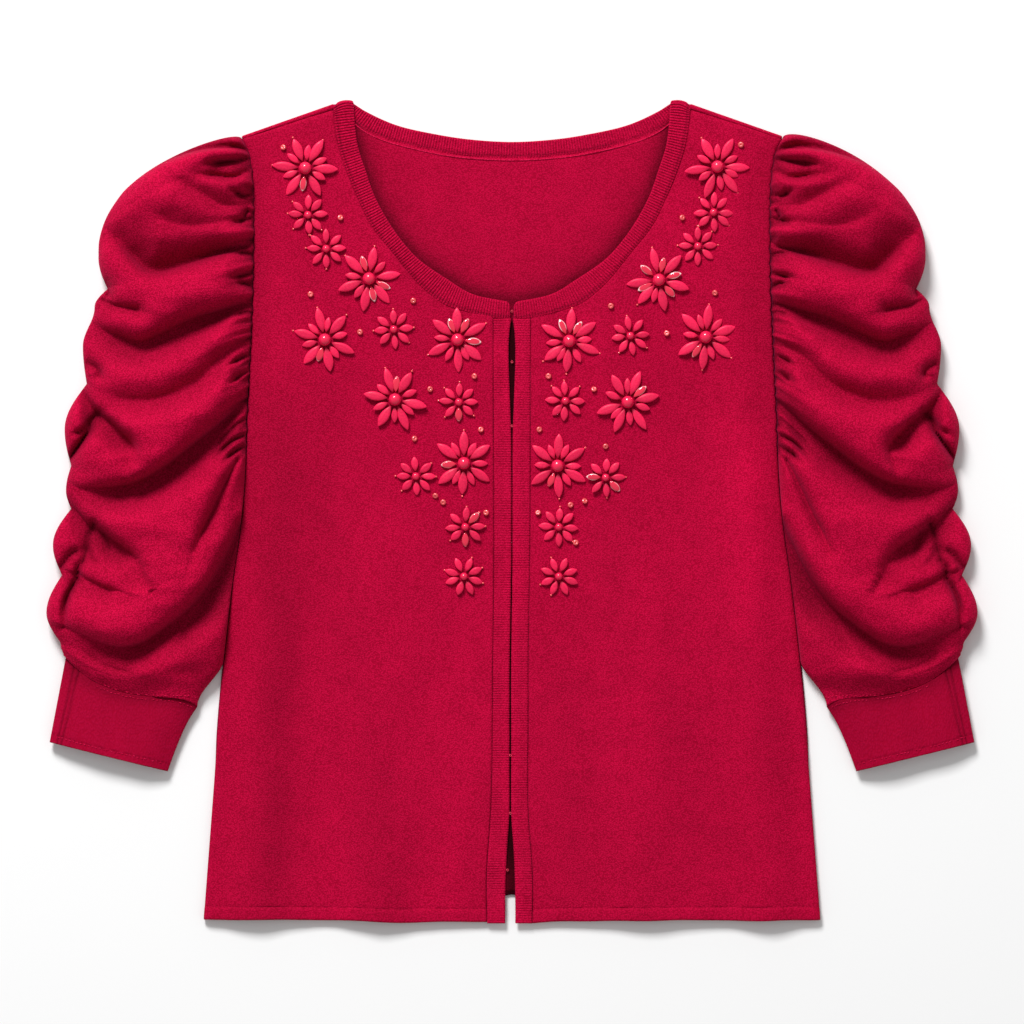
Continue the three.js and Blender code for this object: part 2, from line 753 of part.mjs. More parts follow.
// The cuff: a flattened tube that carries on from the sleeve's end to its straight hem
function sleeveCuff() {
  const innerCurve = curveThrough(cuffInnerEdge);
  const outerCurve = curveThrough(cuffOuterEdge);
  const top = sleeveFolds[sleeveFolds.length - 1];
  const topRow = { points: [[sleeveEndInner.x, sleeveEndInner.y], top.near, top.far, top.outer] };
  const rings = [];
  for (let j = 0; j <= cuffRows; j += 1) {
    const share = j / cuffRows;
    const inner = innerCurve.getPointAt(share);
    const outer = outerCurve.getPointAt(share);
    const drop = cuffGap * (1 - share);
    const middle = (k) => {
      const chord = [mix(inner.x, outer.x, k / 3), mix(inner.y, outer.y, k / 3)];
      const topChord = [
        mix(topRow.points[0][0], topRow.points[3][0], k / 3),
        mix(topRow.points[0][1], topRow.points[3][1], k / 3),
      ];
      const bow = 1 - share;
      return [
        chord[0] + (topRow.points[k][0] - topChord[0]) * bow,
        chord[1] + (topRow.points[k][1] - topChord[1]) * bow - drop,
      ];
    };
    const row = {
      points: [[inner.x, inner.y - drop], middle(1), middle(2), [outer.x, outer.y - drop]],
      crown: cuffCrown,
      outerRoll: sleeveEndRoll,
      innerRoll: sleeveEndRoll,
    };
    const points = acrossSleeve.map((v) => tubePoints(row, v, false, false, 0));
    rings.push(ringFrom(points, false, false));
  }
  return tubeSolid(rings);
}

function namedMesh(name, geometry, colour, roughness) {
  geometry.computeVertexNormals();
  const material = new THREE.MeshStandardMaterial({ color: colour, roughness, metalness: 0, flatShading: true });
  const mesh = new THREE.Mesh(geometry, material);
  mesh.name = name;
  return mesh;
}

const clothRoughness = 0.9;
const ribRoughness = 0.85;
const cardigan = new THREE.Group();
cardigan.name = 'cardigan';

const band = buttonBand();
const neckband = frontNeckband();
const sleeve = puffSleeve();
const cuff = sleeveCuff();

cardigan.add(namedMesh('back', backPanel(), clothColour, clothRoughness));
cardigan.add(namedMesh('front_left', beadedFront(flowers.left), clothColour, clothRoughness));
cardigan.add(namedMesh('front_right', mirrored(beadedFront(flowers.right)), clothColour, clothRoughness));
cardigan.add(namedMesh('band_left', band, ribColour, ribRoughness));
cardigan.add(namedMesh('band_right', mirrored(band), ribColour, ribRoughness));
cardigan.add(namedMesh('neckband_left', neckband, ribColour, ribRoughness));
cardigan.add(namedMesh('neckband_right', mirrored(neckband), ribColour, ribRoughness));
cardigan.add(namedMesh('neckband_back', backNeckband(), ribColour, ribRoughness));
cardigan.add(namedMesh('sleeve_left', sleeve, clothColour, clothRoughness));
cardigan.add(namedMesh('sleeve_right', mirrored(sleeve), clothColour, clothRoughness));
cardigan.add(namedMesh('cuff_left', cuff, ribColour, ribRoughness));
cardigan.add(namedMesh('cuff_right', mirrored(cuff), ribColour, ribRoughness));

export default cardigan;
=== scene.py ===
import math

import bmesh
import bpy
import numpy as np
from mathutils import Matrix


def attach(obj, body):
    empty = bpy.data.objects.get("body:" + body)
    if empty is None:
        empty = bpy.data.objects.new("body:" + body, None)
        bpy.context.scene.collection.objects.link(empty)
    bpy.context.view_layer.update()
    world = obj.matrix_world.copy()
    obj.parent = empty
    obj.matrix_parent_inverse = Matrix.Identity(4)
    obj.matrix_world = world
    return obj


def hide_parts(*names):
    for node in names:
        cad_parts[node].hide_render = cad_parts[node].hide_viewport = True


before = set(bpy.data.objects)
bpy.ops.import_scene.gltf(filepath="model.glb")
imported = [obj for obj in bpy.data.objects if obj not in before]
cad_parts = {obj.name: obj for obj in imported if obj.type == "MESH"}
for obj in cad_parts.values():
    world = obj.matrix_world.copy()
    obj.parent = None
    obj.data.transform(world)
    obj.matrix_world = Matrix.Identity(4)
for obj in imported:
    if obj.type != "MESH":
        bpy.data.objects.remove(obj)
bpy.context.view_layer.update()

scene = bpy.context.scene
millimetre = 0.001


# numbers and curves

def mix(start, end, share):
    return start + (end - start) * share


def smoothStep(value):
    held = np.clip(value, 0, 1)
    return held * held * (3 - 2 * held)


def roundRise(value):  # a quarter circle from 0 up to 1
    held = np.clip(value, 0, 1)
    return np.sqrt(held * (2 - held))


def roundOff(distance, radius):  # 1 at an edge, down to 0 at a radius from it
    return 1 - roundRise(distance / radius)


def bell(distance, width, power=2):  # 1 in the middle, fading to nothing on both sides
    return np.exp(-(distance / width) ** power)


def alongLine(line):  # how far each point of a line is from its start
    return np.concatenate([[0], np.cumsum(np.linalg.norm(np.diff(line, axis=0), axis=1))])


def readAlong(wanted, known, values):  # columns of values, read at other places than the known ones
    return np.stack([np.interp(wanted, known, column) for column in values.T], axis=1)


def bothSides(half):  # a table from the centre outward, with its mirror image in front
    return [(-x, y) for x, y in half[:0:-1]] + half


def curveThrough(table, count, closeSteps=60):  # points at equal steps on a smooth curve through a table
    points = np.array(table, float)
    first = 2 * points[0] - points[1]
    last = 2 * points[-1] - points[-2]
    ends = np.vstack([first, points, last])
    dense = []
    for k in range(len(points) - 1):
        before, start, end, after = ends[k:k + 4]
        steps = (start - before, end - start, after - end)
        gaps = [max(np.linalg.norm(step) ** 0.5, 1e-4) for step in steps]
        slopeIn = (start - before) / gaps[0] - (end - before) / (gaps[0] + gaps[1]) + (end - start) / gaps[1]
        slopeOut = (end - start) / gaps[1] - (after - start) / (gaps[1] + gaps[2]) + (after - end) / gaps[2]
        slopeIn, slopeOut = slopeIn * gaps[1], slopeOut * gaps[1]
        for t in np.arange(closeSteps) / closeSteps:
            dense.append(start + slopeIn * t
                         + (-3 * start + 3 * end - 2 * slopeIn - slopeOut) * t ** 2
                         + (2 * start - 2 * end + slopeIn + slopeOut) * t ** 3)
    dense.append(points[-1])
    dense = np.array(dense)
    length = alongLine(dense)
    wanted = np.linspace(0, length[-1], count)
    return readAlong(wanted, length, dense)


def throughRows(values, place):  # a smooth value between the rows of a table, at a row number with a fraction
    rows = np.array(values, float)
    k = np.clip(np.floor(place).astype(int), 0, len(rows) - 2)
    t = place - k
    if rows.ndim > 1:
        t = t[..., None]
    before = rows[np.maximum(k - 1, 0)]
    start, end = rows[k], rows[k + 1]
    after = rows[np.minimum(k + 2, len(rows) - 1)]
    return start + 0.5 * t * (end - before + t * (2 * before - 5 * start + 4 * end - after
                                                 + t * (3 * (start - end) + after - before)))


def throughFour(v, first, second, third, fourth):  # a smooth curve through points at 0, 1/3, 2/3 and 1
    a = (1 - 3 * v) * (2 - 3 * v) * (1 - v) / 2
    b = 9 * v * (2 - 3 * v) * (1 - v) / 2
    c = 9 * v * (3 * v - 1) * (1 - v) / 2
    d = v * (3 * v - 1) * (3 * v - 2) / 2
    return a * first + b * second + c * third + d * fourth


def turned(x, y, angle):
    return x * math.cos(angle) - y * math.sin(angle), x * math.sin(angle) + y * math.cos(angle)


def softNoise(x, y, size, seed, waves=8):  # gentle waves in all directions, about -1.5 to 1.5
    draws = np.random.default_rng(seed)
    total = 0
    for _ in range(waves):
        turn, phase = draws.uniform(0, 2 * math.pi, 2)
        pitch = size * draws.uniform(0.6, 1.7)
        total = total + np.sin((x * math.cos(turn) + y * math.sin(turn)) * 2 * math.pi / pitch + phase)
    return total * (2 / waves) ** 0.5


# meshes from grids of points, in millimetres

def gridNormals(grid):
    normal = np.cross(np.gradient(grid, axis=1), np.gradient(grid, axis=0))
    return normal / np.maximum(np.linalg.norm(normal, axis=2, keepdims=True), 1e-9)


def gridQuads(index):
    return np.stack([index[:-1, :-1], index[:-1, 1:], index[1:, 1:], index[1:, :-1]], axis=-1).reshape(-1, 4)


def numbered(rows, columns):
    return np.arange(rows * columns).reshape(rows, columns)


def closedRows(rows, around):  # point numbers of closed rings, each with its first point again at the end
    index = numbered(rows, around)
    return np.hstack([index, index[:, :1]])


def tidied(points, quads):  # drops the points that no face uses
    used, renumbered = np.unique(quads, return_inverse=True)
    return points[used], renumbered.reshape(quads.shape)


def closedSheet(grid, half, light=1.0):  # a wall on both sides of a middle surface, joined along its rims
    normal = gridNormals(grid)
    upper = grid + normal * half[..., None]
    lower = grid - normal * half[..., None]
    rows, columns = grid.shape[:2]
    index = numbered(rows, columns)
    below = index + rows * columns
    for rim in (np.s_[0], np.s_[-1], np.s_[:, 0], np.s_[:, -1]):
        below[rim] = index[rim]
    points = np.vstack([upper.reshape(-1, 3), lower.reshape(-1, 3)])
    light = np.broadcast_to(light, (rows, columns)).ravel()
    points = np.hstack([points, np.concatenate([light, light])[:, None]])
    return tidied(points, np.vstack([gridQuads(index), gridQuads(below)[:, ::-1]]))


def rimHalf(grid, wall):  # half the wall's thickness, rounded off towards all four rims
    alongColumns = np.linalg.norm(np.diff(grid, axis=1), axis=2)
    alongRows = np.linalg.norm(np.diff(grid, axis=0), axis=2)
    fromLeft = np.pad(np.cumsum(alongColumns, axis=1), ((0, 0), (1, 0)))
    fromBottom = np.pad(np.cumsum(alongRows, axis=0), ((1, 0), (0, 0)))
    nearest = np.minimum(np.minimum(fromLeft, fromLeft[:, -1:] - fromLeft),
                         np.minimum(fromBottom, fromBottom[-1:] - fromBottom))
    return wall / 2 * roundRise(nearest / (wall / 2))


def atHeight(line, height):
    return np.hstack([line, np.full((len(line), 1), height)])


def raised(plan, heights):
    return np.concatenate([plan, heights[..., None]], axis=2)


def mirrored(part):
    points, quads = part
    return np.hstack([-points[:, :1], points[:, 1:]]), quads[:, ::-1]


def joined(parts):
    points, quads, start = [], [], 0
    for partPoints, partQuads in parts:
        points.append(partPoints)
        quads.append(partQuads + start)
        start += len(partPoints)
    return np.vstack(points), np.vstack(quads)


def placePiece(name, part, material, replaced=(), mergeAt=0.02):
    points, quads = part
    mesh = bpy.data.meshes.new(name)
    mesh.vertices.add(len(points))
    mesh.vertices.foreach_set("co", (points[:, :3] * millimetre).astype(np.float32).ravel())
    mesh.loops.add(quads.size)
    mesh.loops.foreach_set("vertex_index", quads.astype(np.int32).ravel())
    mesh.polygons.add(len(quads))
    mesh.polygons.foreach_set("loop_start", (np.arange(len(quads)) * 4).astype(np.int32))
    mesh.update(calc_edges=True)
    if points.shape[1] > 3:
        light = mesh.attributes.new("light", "FLOAT", "POINT")
        light.data.foreach_set("value", points[:, 3].astype(np.float32))
    work = bmesh.new()
    work.from_mesh(mesh)
    bmesh.ops.remove_doubles(work, verts=work.verts, dist=mergeAt * millimetre)
    bmesh.ops.recalc_face_normals(work, faces=work.faces)
    work.to_mesh(mesh)
    work.free()
    mesh.polygons.foreach_set("use_smooth", np.ones(len(mesh.polygons), bool))
    mesh.validate()
    mesh.update()
    piece = bpy.data.objects.new(name, mesh)
    scene.collection.objects.link(piece)
    piece.data.materials.append(material)
    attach(piece, "root")
    if replaced:
        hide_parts(*replaced)
    mesh.calc_loop_triangles()
    area = sum(face.area for face in mesh.polygons) / 2
    print(f"{name}: {len(mesh.loop_triangles)} triangles, cloth area {area:.4f} m2")
    return piece


# materials

finish = {
    "cloth": (0.53, 0.0026, 0.047),
    "clothDeep": (0.31, 0.0004, 0.021),
    # the sleeves' knit is the body's knit painted lighter, a lit copy of it
    "sleeve": (0.60, 0.0031, 0.054),
    "rib": (0.60, 0.0038, 0.055),
    "ribDeep": (0.36, 0.0005, 0.025),
    # the cuffs' knit is the body's knit painted darker, as painted shade
    "cuff": (0.357, 0.0016, 0.032),
    "inside": (0.51, 0.0024, 0.045),
    "petal": (0.92, 0.0125, 0.086),
    "pearl": (0.76, 0.009, 0.066),
    "glass": (0.7, 0.018, 0.058),
    # the pale colour painted on the glass petals' rims as a highlight
    "glassRimHighlight": (1.0, 0.66, 0.68),
    "seed": (0.96, 0.12, 0.13),
    "thread": (0.68, 0.012, 0.08),
    "hook": (0.62, 0.03, 0.07),
    "petalCloud": (0.72, 0.5, 0.72),      # how much darker the clouds in a petal are
    "stitchSize": 1.1,                    # mm from one stitch to the next
    "stitchDepth": 0.6,
    "sheen": 0.14,
}


def newMaterial(name):
    material = bpy.data.materials.new(name)
    material.use_nodes = True
    return material, material.node_tree, material.node_tree.nodes["Principled BSDF"]


def setInputs(tree, node, inputs):  # a number or a colour is set, another node's output is linked
    for key, value in inputs.items():
        if isinstance(value, bpy.types.NodeSocket):
            tree.links.new(value, node.inputs[key])
        else:
            node.inputs[key].default_value = value


def addNode(tree, kind, inputs, **settings):
    node = tree.nodes.new(kind)
    for key, value in settings.items():
        setattr(node, key, value)
    setInputs(tree, node, inputs)
    return node


def addRamp(tree, share, places, colours):
    ramp = addNode(tree, "ShaderNodeValToRGB", {"Fac": share})
    for element, place, colour in zip(ramp.color_ramp.elements, places, colours):
        element.position = place
        element.color = (*colour, 1)
    return ramp.outputs["Color"]


def addShade(tree, colour, strength):
    shaded = addNode(tree, "ShaderNodeVectorMath", {0: colour, "Scale": strength}, operation="SCALE")
    return shaded.outputs["Vector"]


def meshLight(tree):  # how light each point is, as its mesh says
    return addNode(tree, "ShaderNodeAttribute", {}, attribute_name="light").outputs["Fac"]


def knitMaterial(name, colour, deepColour, stretch=(1, 1, 1)):
    material, tree, shader = newMaterial(name)
    place = addNode(tree, "ShaderNodeTexCoord", {}).outputs["Object"]
    place = addNode(tree, "ShaderNodeMapping", {"Vector": place, "Scale": stretch}).outputs["Vector"]
    perMetre = 1 / (finish["stitchSize"] * millimetre)
    stitches = addNode(tree, "ShaderNodeTexVoronoi", {
        "Vector": place, "Scale": perMetre, "Randomness": 0.9, "Smoothness": 0.6}, feature="SMOOTH_F1")
    fuzz = addNode(tree, "ShaderNodeTexNoise", {
        "Vector": place, "Scale": perMetre * 1.7, "Detail": 3.0, "Roughness": 0.65})
    patches = addNode(tree, "ShaderNodeTexNoise", {
        "Vector": place, "Scale": 55.0, "Detail": 3.0, "Roughness": 0.55})

    # light stitches, darker between them, a little uneven over the cloth, times the mesh's painted light and
    # shade
    shade = addNode(tree, "ShaderNodeMath", {
        0: fuzz.outputs["Fac"], 1: 0.55, 2: stitches.outputs["Distance"]}, operation="MULTIPLY_ADD")
    uneven = addNode(tree, "ShaderNodeMapRange", {
        "Value": patches.outputs["Fac"], "From Min": 0.3, "From Max": 0.7, "To Min": 0.93, "To Max": 1.05})
    strength = addNode(tree, "ShaderNodeMath", {
        0: uneven.outputs["Result"], 1: meshLight(tree)}, operation="MULTIPLY")
    knit = addRamp(tree, shade.outputs["Value"], (0.42, 0.92), (colour, deepColour))
    bump = addNode(tree, "ShaderNodeBump", {
        "Height": shade.outputs["Value"], "Strength": finish["stitchDepth"], "Distance": 0.0006}, invert=True)
    setInputs(tree, shader, {
        "Base Color": addShade(tree, knit, strength.outputs["Value"]),
        "Normal": bump.outputs["Normal"],
        "Roughness": 0.82,
        "Specular IOR Level": 0.04,
        "Sheen Weight": finish["sheen"],
        "Sheen Roughness": 0.45,
        "Sheen Tint": (1.0, 0.08, 0.3, 1),
    })
    return material


def petalMaterial():
    material, tree, shader = newMaterial("petalBeads")
    place = addNode(tree, "ShaderNodeTexCoord", {}).outputs["Object"]
    clouds = addNode(tree, "ShaderNodeTexNoise", {
        "Vector": place, "Scale": 780.0, "Detail": 3.0, "Roughness": 0.6}).outputs["Fac"]
    deep = [value * share for value, share in zip(finish["petal"], finish["petalCloud"])]
    cloudy = addRamp(tree, clouds, (0.3, 0.7), (deep, finish["petal"]))
    bump = addNode(tree, "ShaderNodeBump", {"Height": clouds, "Strength": 0.35, "Distance": 0.0004})
    # the petal colour is multiplied by the mesh's painted light and shade
    setInputs(tree, shader, {
        "Base Color": addShade(tree, cloudy, meshLight(tree)),
        "Normal": bump.outputs["Normal"],
        "Roughness": 0.5,
        "Specular IOR Level": 0.2,
        "Coat Weight": 0.1,
        "Coat Roughness": 0.22,
    })
    return material


def glossMaterial(name, colour, roughness, shine, metal=0.0, rimHighlight=None):
    material, tree, shader = newMaterial(name)
    baseColour = (*colour, 1)
    if rimHighlight:      # painted highlight: where the mesh's light value passes 1, the glass petals' raised rims are painted pale
        rim = addNode(tree, "ShaderNodeMapRange", {
            "Value": meshLight(tree), "From Min": 1.0, "From Max": 1.16})
        baseColour = addRamp(tree, rim.outputs["Result"], (0, 1), (colour, rimHighlight))
    setInputs(tree, shader, {
        "Base Color": baseColour,
        "Roughness": roughness,
        "Specular IOR Level": shine,
        "Metallic": metal,
        "Coat Weight": 0.35,
        "Coat Roughness": 0.06,
    })
    return material


clothMaterial = knitMaterial("knitCloth", finish["cloth"], finish["clothDeep"])
ribMaterial = knitMaterial("ribKnit", finish["rib"], finish["ribDeep"])
sleeveMaterial = knitMaterial("sleeveKnit", finish["sleeve"], finish["clothDeep"])
cuffMaterial = knitMaterial("cuffKnit", finish["cuff"], finish["clothDeep"], stretch=(1, 0.55, 1))
insideMaterial = knitMaterial("insideKnit", finish["inside"], finish["clothDeep"])
beadMaterial = petalMaterial()
pearlMaterial = glossMaterial("pearlGloss", finish["pearl"], 0.25, 0.4)
glassMaterial = glossMaterial("glassBeads", finish["glass"], 0.16, 0.5, rimHighlight=finish["glassRimHighlight"])
seedMaterial = glossMaterial("seedGloss", finish["seed"], 0.3, 1.0, metal=0.5)
threadMaterial = knitMaterial("sewingThread", finish["thread"], finish["ribDeep"])
hookMaterial = glossMaterial("hookGlint", finish["hook"], 0.3, 0.4)
print("materials are ready")


# the pattern: seams and edges as (outward from the centre, up), in mm

pattern = {
    "level": 2.6,                 # the fronts lie this high, on the back
    "wall": 2.2,
    "ribWall": 2.6,
    "hemY": -317.2,
    "hemSideY": -315.0,
    "bandTopY": 147.0,
    "neckTurnY": 150.0,
    "shoulderTip": (208.0, 286.5),
    "side": [(237.4, -316), (229.5, -212), (224.5, -145), (219.5, -97), (214.5, -55), (209.5, -20), (206, 12),
             (204.5, 36), (203, 75), (199.8, 140), (198, 200), (198, 240), (199.5, 262), (202.5, 276),
             (208, 286.5)],
    "bandSeam": [(17.9, -317.2), (18.2, -282), (14.7, -226), (13.5, -146), (13.9, 46), (14.2, 147)],
    "bandOpening": [(4.1, -317.2), (4.0, -294), (3.2, -270), (2.1, -252), (1.0, -236), (0.9, -190),
                    (0.85, -120), (0.8, 55), (1.4, 74), (2.3, 98), (2.9, 120), (2.3, 136), (0.9, 147)],
    "frontNeckSeam": [(14.2, 147.6), (35.4, 152.5), (53.1, 158.6), (70.8, 172.5), (92, 198), (107.8, 218),
                      (118.6, 239.8), (127.3, 261), (133.6, 280.7), (136.3, 297), (137.6, 309)],
    "frontNeckEdge": [(1.3, 160), (31, 166.5), (48.7, 177), (70.8, 192.2), (80.9, 202.5), (93.5, 219.5),
                      (105.5, 241.4), (112.4, 261), (118.6, 280.7), (121, 300.3), (121.6, 312.4)],
    "backNeckEdge": [(0, 283.4), (32, 285.3), (55.9, 288.8), (88.9, 296.3), (112.4, 306.8), (121.6, 312.6)],
    "backNeckSeam": [(0, 270.8), (32, 272.3), (55.9, 275.4), (94.8, 284.8), (111.3, 291.9), (121.9, 299.8),
                     (134.4, 309.6)],
    "scallop": 1.1,               # the armhole seam puckers in and out by this much
    "drapes": [(196, 172, 20, 5.0), (102, 88, 28, 4.0)],   # x at the hem, x at the chest, width, height
}
sideCurve = curveThrough(pattern["side"], 500)
seamCurve = curveThrough(pattern["bandSeam"], 400)
openingCurve = curveThrough(pattern["bandOpening"], 400)


def sideX(y):
    pucker = np.abs(np.sin(y * math.pi / 10.5 + 0.9 * np.sin(y / 19) + 0.5 * np.sin(y / 7.3))) ** 0.7 - 0.55
    pucker = pucker * smoothStep((y - 38) / 25) * smoothStep((278 - y) / 14)
    return np.interp(y, sideCurve[:, 1], sideCurve[:, 0]) + pattern["scallop"] * pucker


def bandSeamX(y):
    return np.interp(y, seamCurve[:, 1], seamCurve[:, 0])


def bandFreeX(y):
    return np.interp(y, openingCurve[:, 1], openingCurve[:, 0])


def frontMiddle(x, y, seed):  # height of the middle of a front's cloth
    up = (y - pattern["hemY"]) / (pattern["bandTopY"] - pattern["hemY"])
    lift = 0
    for hemX, chestX, width, height in pattern["drapes"]:
        away = (x - mix(hemX, chestX, np.minimum(up, 1))) / width
        lift = lift + height * np.exp(-away * away) * mix(1, 0.45, smoothStep(up))
    lift = lift * smoothStep((sideX(y) - x) / 24) * smoothStep((300 - y) / 60)
    lift = lift + 0.4 * softNoise(x, y * 0.45, 60, seed) + 0.08 * softNoise(x, y, 17, seed + 1)
    return pattern["level"] + pattern["wall"] / 2 + lift


# back panel, in one flat piece from hem to shoulders, rolled over at the shoulders

back = {
    "hemCentreY": -296.0,
    "hemSideY": -314.0,
    "shoulderTip": (208.2, 287.4),
    "shoulderNeck": (137.0, 312.4),
    "underBand": 3.0,
    "columns": 80,
    "rows": 110,
    "rollBulge": 1.2,
    "rollInset": 1.9,
    "rollSeam": (137.2, 309.3),
    "rollSteps": 90,
}


def backSheet():
    seam = curveThrough(bothSides(pattern["backNeckSeam"]), 801)[400:]
    seam = seam + np.array([0, back["underBand"]])
    seam = seam[seam[:, 0] < back["shoulderNeck"][0] - 3]
    top = np.vstack([seam, np.linspace(back["shoulderNeck"], back["shoulderTip"], 60)])
    u = np.linspace(0, 1, back["columns"] + 1) ** 1.3
    topX = u * back["shoulderTip"][0]
    topY = np.interp(topX, top[:, 0], top[:, 1])
    hemY = mix(back["hemCentreY"], back["hemSideY"], 1 - (1 - u) ** 2)
    v = np.linspace(0, 1, back["rows"] + 1)[:, None]
    y = mix(hemY[None], topY[None], v)
    underSleeve = 0.8 * smoothStep((y + 200) / 30) + 0.7 * smoothStep((y + 30) / 30)
    underSleeve = underSleeve * (1 - smoothStep((y - 272) / 14))
    x = mix(u[None] * sideX(y), topX[None] * sideX(y) / sideX(topY)[None], smoothStep(v))
    x = x + u[None] * underSleeve
    x = np.hstack([-x[:, :0:-1], x])
    y = np.hstack([y[:, :0:-1], y])
    wall = pattern["wall"]
    z = wall / 2 + 0.12 * (softNoise(x, y, 55, 3) + 1.6)
    grid = np.stack([x, y, z], axis=2)
    edge = curveThrough(pattern["frontNeckEdge"], 60)
    fromEdge = np.full(x.shape, 1e9)
    for point in edge:
        fromEdge = np.minimum(fromEdge, np.hypot(np.abs(x) - point[0], y - point[1]))
    # painted shadow of the fronts' neck edge on the back
    shadow = 0.55 * bell(fromEdge, 7, 1.5) + 0.16 * bell(fromEdge, 26)
    slitShade = bell(x, 7, 4) * smoothStep((155 - y) / 12)      # painted shade between the bands
    slitShade = slitShade * mix(0.84, 0.95, smoothStep((y + 300) / 45))
    return closedSheet(grid, rimHalf(grid, wall), 1 - np.maximum(shadow, slitShade))


def shoulderRoll():  # the back's cloth comes over the shoulder to the seam with the front
    share = np.linspace(0, 1, back["rollSteps"])[:, None]
    foldStart, foldEnd = np.array(back["shoulderNeck"]), np.array(back["shoulderTip"])
    fold = mix(foldStart, foldEnd, share)
    seam = mix(np.array(back["rollSeam"]), np.array(pattern["shoulderTip"]), share)
    outward = np.array([foldStart[1] - foldEnd[1], foldEnd[0] - foldStart[0]])
    outward = outward / np.linalg.norm(outward)
    fold = fold - outward * back["rollInset"]
    low, high = pattern["wall"] / 2, pattern["level"] + pattern["wall"] / 2
    middle, radius = (low + high) / 2, (high - low) / 2
    lines = [(fold - outward * 6, low), (fold - outward * 2, low)]
    for turn in np.linspace(-90, 90, 13):
        angle = math.radians(turn)
        bulged = fold + outward * back["rollBulge"] * math.cos(angle)
        lines.append((bulged, middle + radius * math.sin(angle)))
    for forward, drop in ((0.35, 0.05), (0.7, 0.15), (0.9, 0.5), (1.0, 1.1)):
        lines.append((mix(fold, seam, forward), high - drop))
    grid = np.stack([atHeight(line, height) for line, height in lines], axis=1)
    grid[..., 2] += 0.1 * softNoise(grid[..., 0], grid[..., 1], 30, 5)
    return closedSheet(grid[:, ::-1], rimHalf(grid, pattern["wall"])[:, ::-1])


roll = shoulderRoll()
backPiece = placePiece("backPanel", joined([backSheet(), roll, mirrored(roll)]), insideMaterial,
                       ["back"])
print("back is laid")


def swayed(part):  # towards the centre's lower end, the fronts lie a little off the middle
    points, quads = part
    x, y = points[:, 0], points[:, 1]
    narrower = 1.7 * smoothStep((-140 - y) / 110) * smoothStep((x - 4) / 10)
    moved = points.copy()
    moved[:, 0] = x - (1.3 * smoothStep((-20 - y) / 120) + narrower) * bell(x, 50)
    return moved, quads


# fronts, with a folded hem, soft drapes, painted drape shading and edges that dip into the seams

front = {
    "columns": 84,
    "hemSteps": [0, 0.35, 0.9, 1.8, 3.2, 5, 7, 8.5, 9.4, 10, 10.6, 11.5, 13.2, 16],
    "rowsToNeck": 150,
    "rowsAtNeck": 90,
    "hemDepth": 10.0,
    "hemWall": 2.9,
    "stitchPitch": 3.2,
    # painted drape shading: distance from the middle, half width, from and to which height, painted lighter
    # or darker
    "drapeShadeLeft": [(183, 18, 60, -90, 0.19), (142, 20, 30, -130, 0.09), (102, 14, -30, -230, 0.1)],
    "drapeShadeRight": [(182, 17, 90, -317, -0.17), (144, 20, 130, -70, -0.07), (140, 20, -140, -317, 0.1),
                    (100, 14, -190, -317, -0.09), (50, 26, -30, -317, 0.09)],
    "seedLeft": 11,
    "seedRight": 23,
}


def edgeShares(count, gather=0.62):  # closer together near both ends
    t = np.linspace(0, 1, count + 1)
    return t - gather * np.sin(2 * math.pi * t) / (2 * math.pi)


